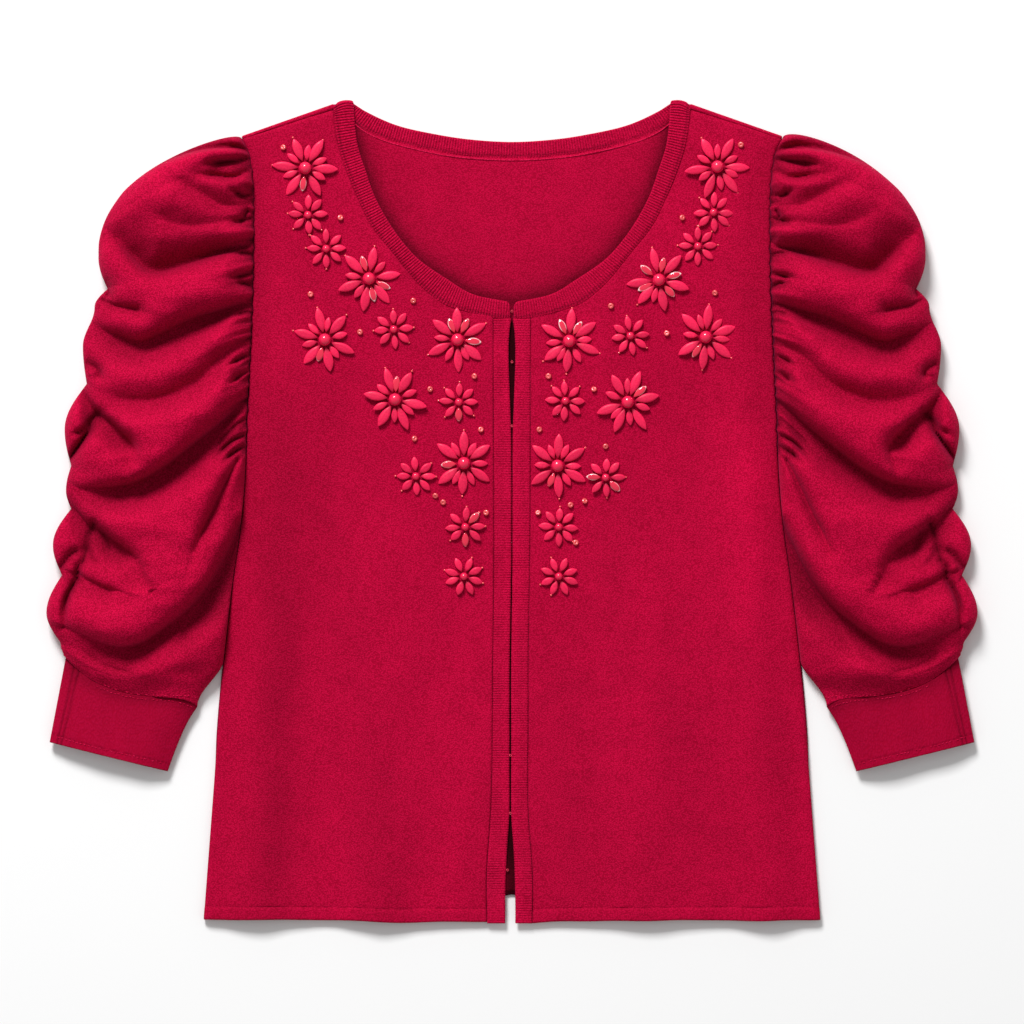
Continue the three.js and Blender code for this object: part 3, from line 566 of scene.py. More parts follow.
def frontSheet(seed, drapes):
    low = pattern["hemY"] + np.array(front["hemSteps"])
    innerY = np.concatenate([low, np.linspace(low[-1] + 3, pattern["bandTopY"] - 1.5, front["rowsToNeck"])])
    outerY = mix(pattern["hemSideY"], pattern["neckTurnY"],
                 (innerY - pattern["hemY"]) / (pattern["bandTopY"] - pattern["hemY"]))
    inner = np.stack([bandSeamX(innerY), innerY], axis=1)
    neck = curveThrough(pattern["frontNeckSeam"], front["rowsAtNeck"])
    neckOuterY = np.linspace(pattern["neckTurnY"] + 2, pattern["shoulderTip"][1], front["rowsAtNeck"])
    inner = np.vstack([inner, neck])
    outerY = np.concatenate([outerY, neckOuterY])
    outer = np.stack([sideX(outerY), outerY], axis=1)
    t = edgeShares(front["columns"])[None, :, None]
    plan = mix(inner[:, None], outer[:, None], t)
    x, y = plan[..., 0], plan[..., 1]
    z = frontMiddle(x, y, seed)

    width = np.linalg.norm(outer - inner, axis=1)[:, None]
    fromSide = (1 - t[..., 0]) * width
    fromSeam = t[..., 0] * width
    sideway = smoothStep((-15 - y) / 25)     # 1 down the free side, 0 up the armhole
    z = z - mix(1.5, 2.1, sideway) * roundOff(fromSide, mix(2.2, 4.2, sideway))
    z = z - 0.45 * roundOff(fromSeam, 2.0)
    fromTop = np.cumsum(np.linalg.norm(np.diff(plan, axis=0), axis=2)[::-1], axis=0)[::-1]
    fromTop = np.pad(fromTop, ((0, 1), (0, 0)))
    z = z - 1.2 * roundOff(fromTop, 2.2)

    fromHem = y - mix(pattern["hemY"], pattern["hemSideY"], t[..., 0])
    stitch = bell(fromHem - front["hemDepth"], 0.75)
    dots = 0.65 + 0.35 * np.cos(2 * math.pi * x / front["stitchPitch"])
    z = z + 0.35 * smoothStep((front["hemDepth"] + 0.6 - fromHem) / 1.2) - 0.5 * stitch * dots
    y = y + 0.5 * softNoise(x, y * 0, 70, seed + 4) * smoothStep(1 - fromHem / 25)
    grid = np.stack([x, y, z], axis=2)
    hemWall = mix(pattern["wall"], front["hemWall"], smoothStep((front["hemDepth"] - fromHem) / 1.5))
    # painted shade in the hem stitches and the band seam, a faint painted light and shade all over, painted
    # shade near the armhole
    light = 1 - 0.35 * stitch * dots - 0.2 * bell(fromSeam, 1.2)
    light = light * (1 + 0.022 * softNoise(x, y * 0.35, 80, seed + 9))
    light = light * (1 - 0.16 * bell(fromSide, 12, 1.4) * (1 - sideway))
    # painted lighter and darker bands where soft drapes would catch or lose the light
    for middle, halfWide, topY, lowY, change in drapes:
        lengthwise = smoothStep((topY - y) / 60 + 0.5) * smoothStep((y - lowY) / 60 + 0.5)
        light = light * (1 + change * bell(x - middle, halfWide) * lengthwise)
    return closedSheet(grid, rimHalf(grid, hemWall), light)


leftSheet = swayed(frontSheet(front["seedLeft"], front["drapeShadeLeft"]))
rightSheet = swayed(mirrored(frontSheet(front["seedRight"], front["drapeShadeRight"])))
frontLeft = placePiece("frontLeft", leftSheet, clothMaterial, ["front_left"])
frontRight = placePiece("frontRight", rightSheet, clothMaterial, ["front_right"])
print("fronts are laid")


# ribbed bands and neckband

ribs = {
    "bandWidth": 14,
    "bandPitch": 1.9,
    "bandSteps": 5,
    "bandDepth": 0.42,
    "bandShade": 0.2,
    "neckPitch": 2.1,
    "neckSteps": 6,
    "neckDepth": 0.85,
    "corner": 3.4,            # rounding of the neckband's two ends
    "grooveShade": 0.36,
    "hump": 2.4,              # how far the fold at the shoulder stands out, mm
    "columns": 12,
}


def ribGroove(count, steps):  # 1 in a narrow groove between ribs, 0 over the rib
    return 1 - np.abs(np.sin(np.arange(count) * math.pi / steps)) ** 0.55


def roundShares(count):
    return 0.5 - 0.5 * np.cos(np.linspace(0, math.pi, count + 1))


def evenRows(grid, step):  # the same strip with rows at equal steps along its middle
    middle = grid[:, grid.shape[1] // 2]
    length = alongLine(middle)
    wanted = np.linspace(0, length[-1], int(round(length[-1] / step)) + 1)
    moved = readAlong(wanted, length, grid.reshape(len(grid), -1))
    return moved.reshape(len(wanted), *grid.shape[1:])


def buttonBand(seed):
    y = np.linspace(pattern["hemY"] - 0.9, pattern["bandTopY"] + 0.6, 300)
    t = roundShares(ribs["columns"])[None]
    free, sewn = bandFreeX(y)[:, None], (bandSeamX(y) + 0.1)[:, None]
    x = mix(free, sewn, t)
    rows = np.broadcast_to(y[:, None], x.shape)
    z = pattern["level"] + pattern["ribWall"] / 2 + 0.12 * softNoise(x, rows, 26, seed)
    width = ribs["bandWidth"]
    z = z - 0.7 * roundOff(t * width, 1.6) - 0.35 * roundOff((1 - t) * width, 1.6)
    grid = evenRows(np.stack([x, rows, z], axis=2), ribs["bandPitch"] / ribs["bandSteps"])
    half = rimHalf(grid, pattern["ribWall"])
    groove = ribGroove(len(grid), ribs["bandSteps"])[:, None]
    across = np.linspace(0, 1, grid.shape[1])[None]
    uneven = 0.75 + 0.35 * softNoise(grid[..., 0] * 4, grid[..., 1], 30, seed + 2)
    cut = ribs["bandDepth"] * groove * np.clip(uneven, 0.3, 1.1)
    edgeShade = 1 - 0.85 * roundOff(across * width, 1.1)      # painted shade at the slit
    # painted shade at the sewn side, then a faint painted highlight a quarter of the way across
    edgeShade = edgeShade - 0.3 * roundOff((1 - across) * width, 2.2)
    edgeShade = edgeShade * (0.94 + 0.1 * bell(across - 0.25, 0.2))
    # painted shade in the rib grooves
    light = (1 - ribs["bandShade"] * cut / ribs["bandDepth"]) * edgeShade
    return closedSheet(grid, np.maximum(half - cut, 0) * (half > 0), light)


def facingPairs(free, sewn):  # for each point of the free edge, the sewn edge straight across from it
    gaps = np.linalg.norm(free[:, None] - sewn[None], axis=2)
    nearest = np.maximum.accumulate(np.argmin(gaps, axis=1)).astype(float)
    nearest = nearest + np.linspace(-nearest[0], 0, len(nearest)) * (nearest[0] > 0)
    ends = np.concatenate([np.full(12, 0.0), nearest, np.full(12, len(sewn) - 1.0)])
    even = np.convolve(ends, np.ones(25) / 25, mode="valid")
    even[0], even[-1] = 0, len(sewn) - 1
    return readAlong(even, np.arange(len(sewn)), sewn)


def neckbandStrip():
    freeFront = curveThrough(pattern["frontNeckEdge"], 300)
    sewnFront = curveThrough([(1.1, pattern["bandTopY"] + 0.3), (7, pattern["bandTopY"] + 0.3)]
                             + pattern["frontNeckSeam"], 600)
    sewnFront = facingPairs(freeFront, sewnFront)
    freeBack = curveThrough(bothSides(pattern["backNeckEdge"]), 601)[300:]
    sewnBack = facingPairs(freeBack, curveThrough(bothSides(pattern["backNeckSeam"]), 1201)[600:])
    t = roundShares(ribs["columns"])[:, None]
    hump = ribs["hump"] * np.sin(math.pi * t) ** 0.8
    frontLevel = pattern["level"] + 0.1 + pattern["ribWall"] / 2
    backLevel = 1.25
    rows = []
    frontWay, backWay, outward = np.array([0.08, 1.0]), np.array([0.78, 0.62]), np.array([0.49, 0.87])
    fromFold = np.linalg.norm(freeFront - freeFront[-1], axis=1)
    for free, sewn, away in zip(freeFront, sewnFront, fromFold):
        corner = ribs["corner"] * roundOff(free[0] - freeFront[0][0], ribs["corner"])
        free = mix(free, sewn, corner / np.linalg.norm(free - sewn))
        line = mix(free, sewn, t) + frontWay * hump * smoothStep(1 - away / 9)
        rows.append(atHeight(line, frontLevel))
    middle, radius = (frontLevel + backLevel) / 2, (frontLevel - backLevel) / 2
    for turn in np.linspace(8, 172, 15):
        angle, share = math.radians(turn), turn / 180
        line = mix(mix(freeFront[-1], freeBack[-1], share), mix(sewnFront[-1], sewnBack[-1], share), t)
        line = line + outward * radius * math.sin(angle) + mix(frontWay, backWay, share) * hump
        rows.append(atHeight(line, middle + radius * math.cos(angle)))
    fromFold = np.linalg.norm(freeBack - freeBack[-1], axis=1)
    for free, sewn, away in zip(freeBack[::-1], sewnBack[::-1], fromFold[::-1]):
        line = mix(free, sewn, t) + backWay * hump * smoothStep(1 - away / 9)
        rows.append(atHeight(line, backLevel))
    half = np.array(rows)
    otherHalf = (half * np.array([-1, 1, 1]))[-2::-1]
    grid = evenRows(np.vstack([half, otherHalf]), ribs["neckPitch"] / ribs["neckSteps"])
    grid[..., 2] += 0.1 * softNoise(grid[..., 0], grid[..., 1], 30, 41)
    halfWall = rimHalf(grid, pattern["ribWall"])
    groove = ribGroove(len(grid), ribs["neckSteps"])[:, None]
    seamLine = bell(t.T - 0.86, 0.045)
    half = np.maximum(halfWall - ribs["neckDepth"] * groove - 0.5 * seamLine, 0.25) * (halfWall > 0)
    # painted shade in the rib grooves and along the seam line
    return closedSheet(grid, half, (1 - ribs["grooveShade"] * groove) * (1 - 0.4 * seamLine))


def neckTape():  # the fine sewn line just below the back neckband
    line = curveThrough(bothSides(pattern["backNeckSeam"]), 500)[14:-14]
    along = np.gradient(line, axis=0)
    inward = np.stack([along[:, 1], -along[:, 0]], axis=1) / np.linalg.norm(along, axis=1)[:, None]
    across = np.linspace(1.0, 2.2, 5)[None, :, None]
    plan = line[:, None] + inward[:, None] * across
    twist = 0.12 * np.sin(np.arange(len(line)) * 2 * math.pi / 4)[:, None]
    grid = raised(plan, np.full(plan.shape[:2], 2.6))
    return closedSheet(grid, rimHalf(grid, 0.9) * (1 + twist))


placePiece("neckTape", neckTape(), threadMaterial)
bandLeft = placePiece("bandLeft", swayed(buttonBand(31)), ribMaterial, ["band_left"])
bandRight = placePiece("bandRight", swayed(mirrored(buttonBand(37))), ribMaterial, ["band_right"])
neckband = placePiece("neckband", neckbandStrip(), ribMaterial,
                      ["neckband_left", "neckband_right", "neckband_back"])
print("ribbed bands are sewn on")


# puff sleeves: rows fan out from the armhole, and creases sink between the folds

sleeve = {
    # inner y, near x, near y, far x, far y, outer x, outer y, ridge height
    "folds": [
        (285.5, 223, 287.4, 256, 275.6, 289, 254, 9),
        (260, 229, 260, 271, 246, 313, 217, 40),
        (233, 234, 235, 271, 222, 317, 206, 41),
        (214, 236, 211, 279, 203, 318, 194, 42),
        (198, 238, 189, 276, 180, 311, 170, 40),
        (176, 236, 166, 277, 157, 321, 156, 39),
        (154, 240, 143, 280, 130, 326, 140, 38),
        (139, 243, 123, 285, 112, 330, 126, 38),
        (124, 241, 102, 284, 88, 327, 97, 40),
        (103, 244, 79, 296, 64, 344, 62, 42),
        (83, 250, 49, 290, 25, 339, 34, 40),
        (62, 240, 32, 290, -2, 343, 15, 37),
        (41, 233, -2, 279, -37, 339, 1, 36),
        (19, 235, -31, 279, -58, 353, -27, 36),
        (4, 238, -46, 300, -69, 346, -50, 36),
        (-12, 240, -58, 300, -89, 358, -79, 36),
        (-38, 240, -80, 287, -109, 350, -98, 33),
        (-55, 236, -96, 284, -123, 347, -104, 30),
        (-77, 237, -112, 285, -130, 346, -108, 24),
        (-116, 246, -131, 294, -135, 345, -111, 17),
        (-151, 267, -144, 303, -139, 343.4, -114, 12),
    ],
    "topLobe": [(289, 254), (298.5, 245), (305.6, 235.6), (311.4, 226), (315, 217), (317.6, 206), (318, 194)],
    "ridges": [1, 3, 5, 7, 9, 11, 13, 15, 17, 19],
    "underarm": 12,
    "rowsPerFold": 18,
    "across": 84,
    "under": 20,
    "wall": 1.6,
    "outerRoll": 9.0,
    "innerRoll": 3.5,
    "endRoll": 6.0,
    "gap": 0.4,
    "cuffCorner": (242.0, -151.0),
    "topClosing": 0.28,       # share of the first fold in which the sleeve's top end closes
    "broad": 8.5,             # creases wider than this are soft, mm
    "narrow": 8.0,            # those narrower than this also get painted shade as dark lines, mm
    "startsNarrow": 3.5,
}
# each crease: how deep (0 to 1), how wide above and below it in mm, then its line (outward, up)
creases = [
    (0.85, 13, 1.8, [(201.4, 276), (210.6, 278.4), (226.4, 279.1), (242.1, 277.1), (255.9, 273.1),
                     (271.7, 266.8)]),
    (0.70, 2.5, 4, [(201.4, 270.6), (211.8, 268.4), (224, 266.8), (233, 266)]),
    (0.60, 8, 4, [(200.6, 262.3), (208.9, 257.4), (215.8, 255.3), (226.9, 256.7), (238.7, 257.2)]),
    (0.70, 2.5, 2.5, [(200.6, 242.3), (207.5, 241.6), (213.8, 245)]),
    (0.40, 12, 10, [(198.7, 237.9), (200.7, 235.3), (215.8, 233.9), (224, 234.6), (232.5, 239.5),
                    (246, 246.5), (262, 254)]),
    (0.70, 2, 2.6, [(197.9, 225), (206.1, 222.9), (212, 221)]),
    (0.65, 2, 2, [(203.3, 229.8), (206.1, 224.3)]),
    (0.28, 12, 9, [(206.1, 222.2), (218.7, 221.2), (237.9, 218.7), (250.3, 218.4), (264, 221.8),
                   (277, 229.5)]),
    (0.84, 21, 7, [(199.3, 206.4), (202.5, 203.3), (210.7, 201), (230.2, 196), (255.6, 188.1), (271, 184),
                   (280.3, 185.2), (290.3, 194.8), (298.8, 203.3), (309.5, 214), (313, 218.7)]),
    (0.70, 2, 2.2, [(198.7, 195.6), (203.5, 197.4), (211, 197.6)]),
    (0.70, 2, 2.6, [(197.9, 182.8), (206, 180.2), (214, 178.6)]),
    (0.65, 2, 2.6, [(199.3, 171), (204.8, 174), (211, 174.5)]),
    (0.78, 6, 19, [(199.3, 158.6), (208.9, 157.2), (216.4, 154.8), (227.9, 151), (240.2, 147.5),
                   (255.6, 141), (271, 133.5), (283, 129), (291, 129.4), (301, 133.1), (312.6, 137.5),
                   (325, 145.8), (329, 148.8)]),
    (0.50, 5, 7, [(287.7, 153.8), (297, 155.5), (305.7, 157.2), (319.6, 163.5), (322.6, 164.8)]),
    (0.60, 4, 4, [(312.5, 174), (310.3, 167.9), (312.6, 162.5)]),
    (0.70, 2, 2.4, [(198.7, 151.7), (204, 152.5), (212, 150.6)]),
    (0.45, 10, 14, [(199.3, 128.9), (211.8, 124.7), (221.4, 119.4), (230.2, 110.9), (241, 100.1),
                    (256.4, 90.9), (275.7, 84.7), (295, 84.7), (310.3, 87.8), (326.5, 93.9)]),
    (0.70, 2, 2.6, [(199.4, 120), (207.5, 117), (216, 112)]),
    (0.70, 2.4, 2.6, [(199.4, 108), (207.5, 104), (215, 98)]),
    (0.55, 4, 7, [(325, 112.4), (318.8, 108.6), (317.2, 104), (321.9, 102.4)]),
    (0.80, 4, 21, [(203, 85), (208, 80), (213.5, 75.5), (225.5, 64.5), (237, 55), (249, 45.5), (265, 33),
                   (282, 23), (293, 19), (303.4, 17), (319.6, 16), (333.4, 17), (343.4, 22)]),
    (0.70, 5, 15, [(330, 90.9), (324, 81), (318.8, 73.9), (309.5, 67.8), (299.5, 57.8), (291.8, 50),
                   (289.5, 44.7), (290.3, 38.5)]),
    (0.92, 2.6, 3, [(318.8, 73.9), (323.8, 67.9), (324.8, 61.8), (329.8, 53.9), (335.7, 45.7), (340.9, 37.7),
                  (343, 28)]),
    (0.50, 2, 4, [(323.8, 67.9), (329, 62), (337, 58)]),
    (0.75, 3, 2.6, [(207.1, 57), (214.8, 53.1), (221, 47.7), (226.4, 42.4)]),
    (0.70, 2.4, 3, [(206.4, 48.5), (214, 44.2), (220, 38.6)]),
    (0.60, 2.4, 3.4, [(205.7, 69.8), (212.9, 64.5), (221.4, 56.2), (228.3, 48.5)]),
    (0.72, 3, 26, [(207, -8), (213, -27.1), (220.4, -43.6), (229.4, -60.1), (239.9, -76.2), (250, -90)]),
    (0.78, 4, 17, [(208.4, -12.2), (215.2, -27.1), (223.4, -43.6), (233.4, -60.1), (244.9, -74.2),
                     (258.2, -85.7), (271.4, -95.6), (284.6, -103.4), (299.5, -106.5), (314.3, -103.4),
                     (327.5, -97.3), (340.7, -91.5)]),
    (0.55, 3.5, 9, [(211, 38), (216.5, 27), (221.8, 15.9), (230.1, -2.3), (238.3, -18.8), (244, -32)]),
    (0.72, 4, 18, [(342, 6.5), (335, -1), (326.9, -10.8), (318, -16.2), (309.5, -22.3), (298, -30),
                   (288.8, -37.7), (284.9, -43.9)]),
    (0.60, 2.6, 5, [(314.5, -18), (311, -25), (308.5, -33)]),
    (0.94, 2.4, 2.4, [(321.8, -11.2), (325.1, -19.5), (326.7, -27.7), (329.2, -37.6), (333.3, -44.2),
                    (334.5, -52.5), (338.6, -60.1), (342.4, -68.4), (344.6, -79), (344.2, -90)]),
    (0.45, 4, 15, [(333.5, -50), (322, -56), (309.5, -61), (300, -63)]),
    (0.42, 3, 6, [(325, -30), (322.5, -37), (317.5, -42)]),
    (0.75, 3.6, 3.8, [(347, -43.9), (338.8, -34), (330.3, -29.4)]),
    (0.45, 7, 8, [(297, -124), (309, -121), (320, -115), (331, -108)]),
]


def foldWeight(place):  # sharp at a valley, round over a ridge
    k = np.clip(np.floor(place).astype(int), 0, len(sleeve["folds"]) - 2)
    t = place - k
    toRidge = np.isin(k + 1, sleeve["ridges"])
    weight = np.where(toRidge, np.sin(t * math.pi / 2), 1 - np.cos(t * math.pi / 2))
    weight = np.where(k == 0, np.sqrt(t * (2 - t)), weight)
    weight = np.where(k == len(sleeve["folds"]) - 2, smoothStep(t), weight)
    return k, weight


def sleevePlan(place, v, topRise):  # where each point of the sleeve lies, seen from above
    folds = np.array(sleeve["folds"], float)
    folds[0, [2, 4]] += topRise
    k, weight = foldWeight(place)
    innerY = np.interp(place, np.arange(len(folds)), folds[:, 0])
    lastFold = len(folds) - 2
    innerX = sideX(innerY) + sleeve["gap"]
    endShare = np.clip(place - lastFold, 0, 1)
    innerX = mix(innerX, sleeve["cuffCorner"][0], smoothStep(endShare))
    near = throughRows(folds[:, 1:3], place)
    far = throughRows(folds[:, 3:5], place)
    outerY = mix(folds[k, 6], folds[k + 1, 6], place - k)
    lobe = curveThrough(sleeve["topLobe"], 80)[::-1]
    lobeX = np.interp(outerY, lobe[:, 1], lobe[:, 0])
    outerX = np.where(place < 3, lobeX, mix(folds[k, 5], folds[k + 1, 5], weight))
    outer = np.stack([outerX, outerY], axis=1)
    inner = np.stack([innerX, innerY], axis=1)
    plan = throughFour(v[None, :, None], inner[:, None], near[:, None], far[:, None], outer[:, None])
    plan[..., 0] = np.maximum(plan[..., 0], sideX(plan[..., 1]) + sleeve["gap"])
    return plan, np.linalg.norm(outer - inner, axis=1)


def creaseDepth(x, y, above, below, points):  # how far a crease reaches at each point, 1 along its line
    line = curveThrough(points, 8 * len(points))
    best = np.full(x.shape, 1e9)
    side = np.zeros(x.shape)
    place = np.zeros(x.shape)
    for k, (start, end) in enumerate(zip(line[:-1], line[1:])):
        along = end - start
        t = np.clip(((x - start[0]) * along[0] + (y - start[1]) * along[1]) / (along @ along), 0, 1)
        dx, dy = x - (start[0] + along[0] * t), y - (start[1] + along[1] * t)
        distance = np.hypot(dx, dy)
        closer = distance < best
        best = np.where(closer, distance, best)
        side = np.where(closer, (along[0] * dy - along[1] * dx) / np.linalg.norm(along), side)
        place = np.where(closer, (k + t) / (len(line) - 1), place)
    upward = 1 if line[-1][0] >= line[0][0] else -1
    blend = smoothStep(0.5 + side * upward / 4)      # from the lower side's width to the upper one's
    width = mix(below, above, blend)
    if max(below, above) > sleeve["broad"] and points[0][1] > 0:      # they start narrow among the gathers
        width = mix(np.minimum(width, sleeve["startsNarrow"]), width, smoothStep(place / 0.42))
    fade = 1 - 0.55 * smoothStep((place - 0.72) / 0.28)
    powerAbove = 1.4 if above > sleeve["broad"] else 1.05     # a narrow side is sharp at the line
    powerBelow = 2.4 if below > 11 else 1.05
    return fade * bell(best, width, mix(powerBelow, powerAbove, blend))


def outwardFall(v):  # level up to 0.45 of the way across, then down in a round bow
    fallen = np.maximum(0, (v - 0.45) / 0.55)
    return np.sqrt(np.maximum(0, 1 - fallen ** 2))


def puffSleeve(seed, topRise):
    folds = np.array(sleeve["folds"], float)
    count = (len(folds) - 1) * sleeve["rowsPerFold"]
    place = np.linspace(0, len(folds) - 1, count + 1)
    place[0] = 0.012
    v = edgeShares(sleeve["across"], 0.66)
    plan, length = sleevePlan(place, v, topRise)
    x, y = plan[..., 0], plan[..., 1]
    crown = throughRows(folds[:, 7], place)
    firstCrown = mix(folds[0, 7], folds[1, 7], np.sqrt(np.clip(place * (2 - place), 0, 1)))
    crown = np.where(place < 1, firstCrown, crown)[:, None]
    lowering = smoothStep((place - sleeve["underarm"] + 0.4) / 0.8)[:, None]
    toEnd = np.clip(place - (len(folds) - 2), 0, 1)[:, None]
    innerRoll = mix(sleeve["innerRoll"], sleeve["endRoll"], toEnd)
    outerRoll = mix(sleeve["outerRoll"], sleeve["endRoll"], toEnd)
    innerEdge = mix(3.0, innerRoll, lowering)
    vv = v[None]
    rise = 0.45 * roundRise(vv / 0.2) + 0.55 * np.sin(math.pi / 2 * np.minimum(vv / 0.42, 1))
    share = rise * outwardFall(vv)
    edge = mix(innerEdge, outerRoll, vv)
    top = mix(edge, crown, share)

    # long soft waves that run with the rows, gathers at the armhole, then the creases
    draws = np.random.default_rng(seed)
    rowPhase = place[:, None] * 2 * math.pi
    top = top + share * 0.8 * softNoise(x * 0.5, y, 34, seed)
    top = top + share * 0.3 * softNoise(x * 0.6, y, 15, seed + 1)
    fromArmhole = vv * length[:, None]
    gathers = 0
    for strength, pitch in ((3.2, 0.83), (2.4, 0.47), (1.5, 0.31)):
        wobble = 0.5 * np.sin(rowPhase * 0.37 + draws.uniform(0, 6))
        gathers = gathers - strength * (1 - np.abs(np.sin(rowPhase / 2 / pitch + wobble)) ** 0.8)
    nearSeam = np.exp(-fromArmhole / 13) * (1 - lowering)
    top = top + gathers * nearSeam * np.minimum(fromArmhole / 3.5, 1)
    keep, lines = 1, 0
    for depth, above, below, points in creases:
        reach = depth * creaseDepth(x, y, above, below, points)
        keep = keep * (1 - reach)
        if max(above, below) < sleeve["narrow"]:
            lines = np.maximum(lines, reach ** 1.3)
    floor = edge * 0.55 + 2
    top = np.where(top > floor, floor + (top - floor) * keep, top)
    # painted shade along the puckered armhole seam, in the creases and gathers, and as darker lines in the
    # narrow creases
    seamShade = 0.6 * bell(fromArmhole, 0.9 - 0.25 * gathers) * (1 - lowering)
    light = (1 - 0.58 * (1 - keep) ** 1.15) * (1 + 0.12 * gathers * nearSeam)
    light = light * (1 - seamShade) * (1 - 0.38 * lines)

    closing = roundRise((place - place[0]) / sleeve["topClosing"])[:, None]      # like a fold
    top = mix(4.6, top, closing)

    w = edgeShares(sleeve["under"], 0.8)
    underPlan = sleevePlan(place, w, topRise)[0]
    under = mix(4.5, flatUnder(w, length[:, None], outerRoll, innerRoll, lowering), closing)
    topGrid = raised(plan, top)
    wall = sleeve["wall"] * np.maximum(closing, 0.1)[..., None]
    tube = tubeWalls(topGrid, raised(underPlan, under), wall, np.clip(light, 0.2, 1.3))
    return tube, topGrid[-4, 6:58]      # with the line that its stitches follow


def flatUnder(w, length, outerRoll, innerRoll, innerShare=1):  # a tube lies flat underneath, with round edges
    outerRise = outerRoll * roundOff((1 - w[None]) * length, outerRoll)
    innerRise = innerRoll * roundOff(w[None] * length, innerRoll)
    return np.maximum(outerRise, innerShare * innerRise) + 0.02


def tubeWalls(top, under, wall, light):  # a tube of cloth with an inner wall, joined at its open ends
    outerWall = np.concatenate([top, under[:, -2::-1]], axis=1)
    # the underside is painted a little darker, as shade
    light = np.hstack([light, np.full(under[:, -2::-1, 0].shape, 0.9)])
    normal = gridNormals(outerWall)
    innerWall = outerWall + normal * wall
    rows, columns = outerWall.shape[:2]
    index = numbered(rows, columns)
    inside = index + rows * columns
    parts = [gridQuads(index), gridQuads(inside)[:, ::-1]]
    for rim, flipped in ((np.s_[0], True), (np.s_[-1], False), (np.s_[:, 0], False), (np.s_[:, -1], True)):
        outsideEdge, insideEdge = index[rim], inside[rim]
        quads = np.stack([outsideEdge[:-1], outsideEdge[1:], insideEdge[1:], insideEdge[:-1]], axis=-1)
        parts.append(quads[:, ::-1] if flipped else quads)
    points = np.vstack([outerWall.reshape(-1, 3), innerWall.reshape(-1, 3)])
    return np.hstack([points, np.concatenate([light, light]).reshape(-1, 1)]), np.vstack(parts)


leftPuff, leftPuffLine = puffSleeve(51, 1.3)
rightPuff, rightPuffLine = puffSleeve(57, -1.3)
sleeveLeft = placePiece("sleeveLeft", leftPuff, sleeveMaterial, ["sleeve_left"])
sleeveRight = placePiece("sleeveRight", mirrored(rightPuff), sleeveMaterial, ["sleeve_right"])
print("sleeves are gathered in")


# plain cuffs, flattened tubes with a straight hem

cuff = {
    "inner": [(242, -151), (249, -162), (257.2, -180.2), (264.9, -201)],
    "outer": [(343.4, -114), (355.7, -178.6)],
    "crown": 12.0,
    "roll": 6.0,
    "wall": 2.0,
    "rows": 64,
    "across": 64,
    "under": 24,
    "depth": 64.0,
    "hemDepth": 7.0,
    "stitchPitch": 3.2,
    "edgeLines": [6.0, 9.0],     # mm in from the outer edge
}


def plainCuff(seed):
    rows = cuff["rows"] + 1
    inner = curveThrough(cuff["inner"], rows)
    outer = curveThrough(cuff["outer"], rows)
    top = sleeve["folds"][-1]
    topRow = np.array([sleeve["cuffCorner"], top[1:3], top[3:5], top[5:7]], float)
    share = np.linspace(0, 1, rows)

    def planAt(v):
        plan = mix(inner[:, None], outer[:, None], v[None, :, None])
        chord = mix(topRow[0], topRow[3], v[:, None])
        bowed = throughFour(v[:, None], *topRow)
        plan = plan + (bowed - chord)[None] * (1 - share)[:, None, None]
        plan[..., 1] -= 0.2 * (1 - share)[:, None]
        return plan

    v = edgeShares(cuff["across"], 0.7)
    plan = planAt(v)
    length = np.linalg.norm(outer - inner, axis=1)[:, None]
    vv = v[None]
    height = np.sin(math.pi / 2 * np.minimum(vv / 0.3, 1)) ** 0.8 * outwardFall(vv)
    topZ = mix(cuff["roll"], cuff["crown"], height)
    topZ = topZ + 0.25 * height * softNoise(plan[..., 0], plan[..., 1] * 0.5, 40, seed)
    fromOuter = (1 - vv) * length
    for line in cuff["edgeLines"]:
        topZ = topZ - 0.55 * bell(fromOuter - line, 0.6)
    fromHem = (1 - share)[:, None] * cuff["depth"]
    stitch = bell(fromHem - cuff["hemDepth"], 0.7)
    dots = np.cos(vv * length * 2 * math.pi / cuff["stitchPitch"])
    topZ = topZ - 0.4 * stitch * (0.6 + 0.4 * dots) * np.minimum(height * 2, 1)

    w = edgeShares(cuff["under"], 0.8)
    under = flatUnder(w, length, cuff["roll"], cuff["roll"])
    topGrid = raised(plan, topZ)
    # painted shade in the pressed lines and the hem stitches, and a painted shadow of the puff along the
    # cuff's top
    lines = sum(bell(fromOuter - line, 0.7) for line in cuff["edgeLines"])
    light = 1 - 0.42 * lines - 0.4 * stitch * (0.5 + 0.5 * dots)
    light = light * (1 - 0.3 * bell(share[:, None] * cuff["depth"], 9))
    tube = tubeWalls(topGrid, raised(planAt(w), under), cuff["wall"], np.clip(light, 0.3, 1))
    return tube, topGrid[3, 6:46], topGrid[-7, 6:58]      # with the two lines that its stitches follow


leftTube, *leftCuffLines = plainCuff(61)
rightTube, *rightCuffLines = plainCuff(67)
cuffLeft = placePiece("cuffLeft", leftTube, cuffMaterial, ["cuff_left"])
cuffRight = placePiece("cuffRight", mirrored(rightTube), cuffMaterial, ["cuff_right"])

stitches = {"pitch": 3.0, "length": 1.9, "width": 0.8, "thick": 0.45, "wander": 0.5, "shown": 0.8}


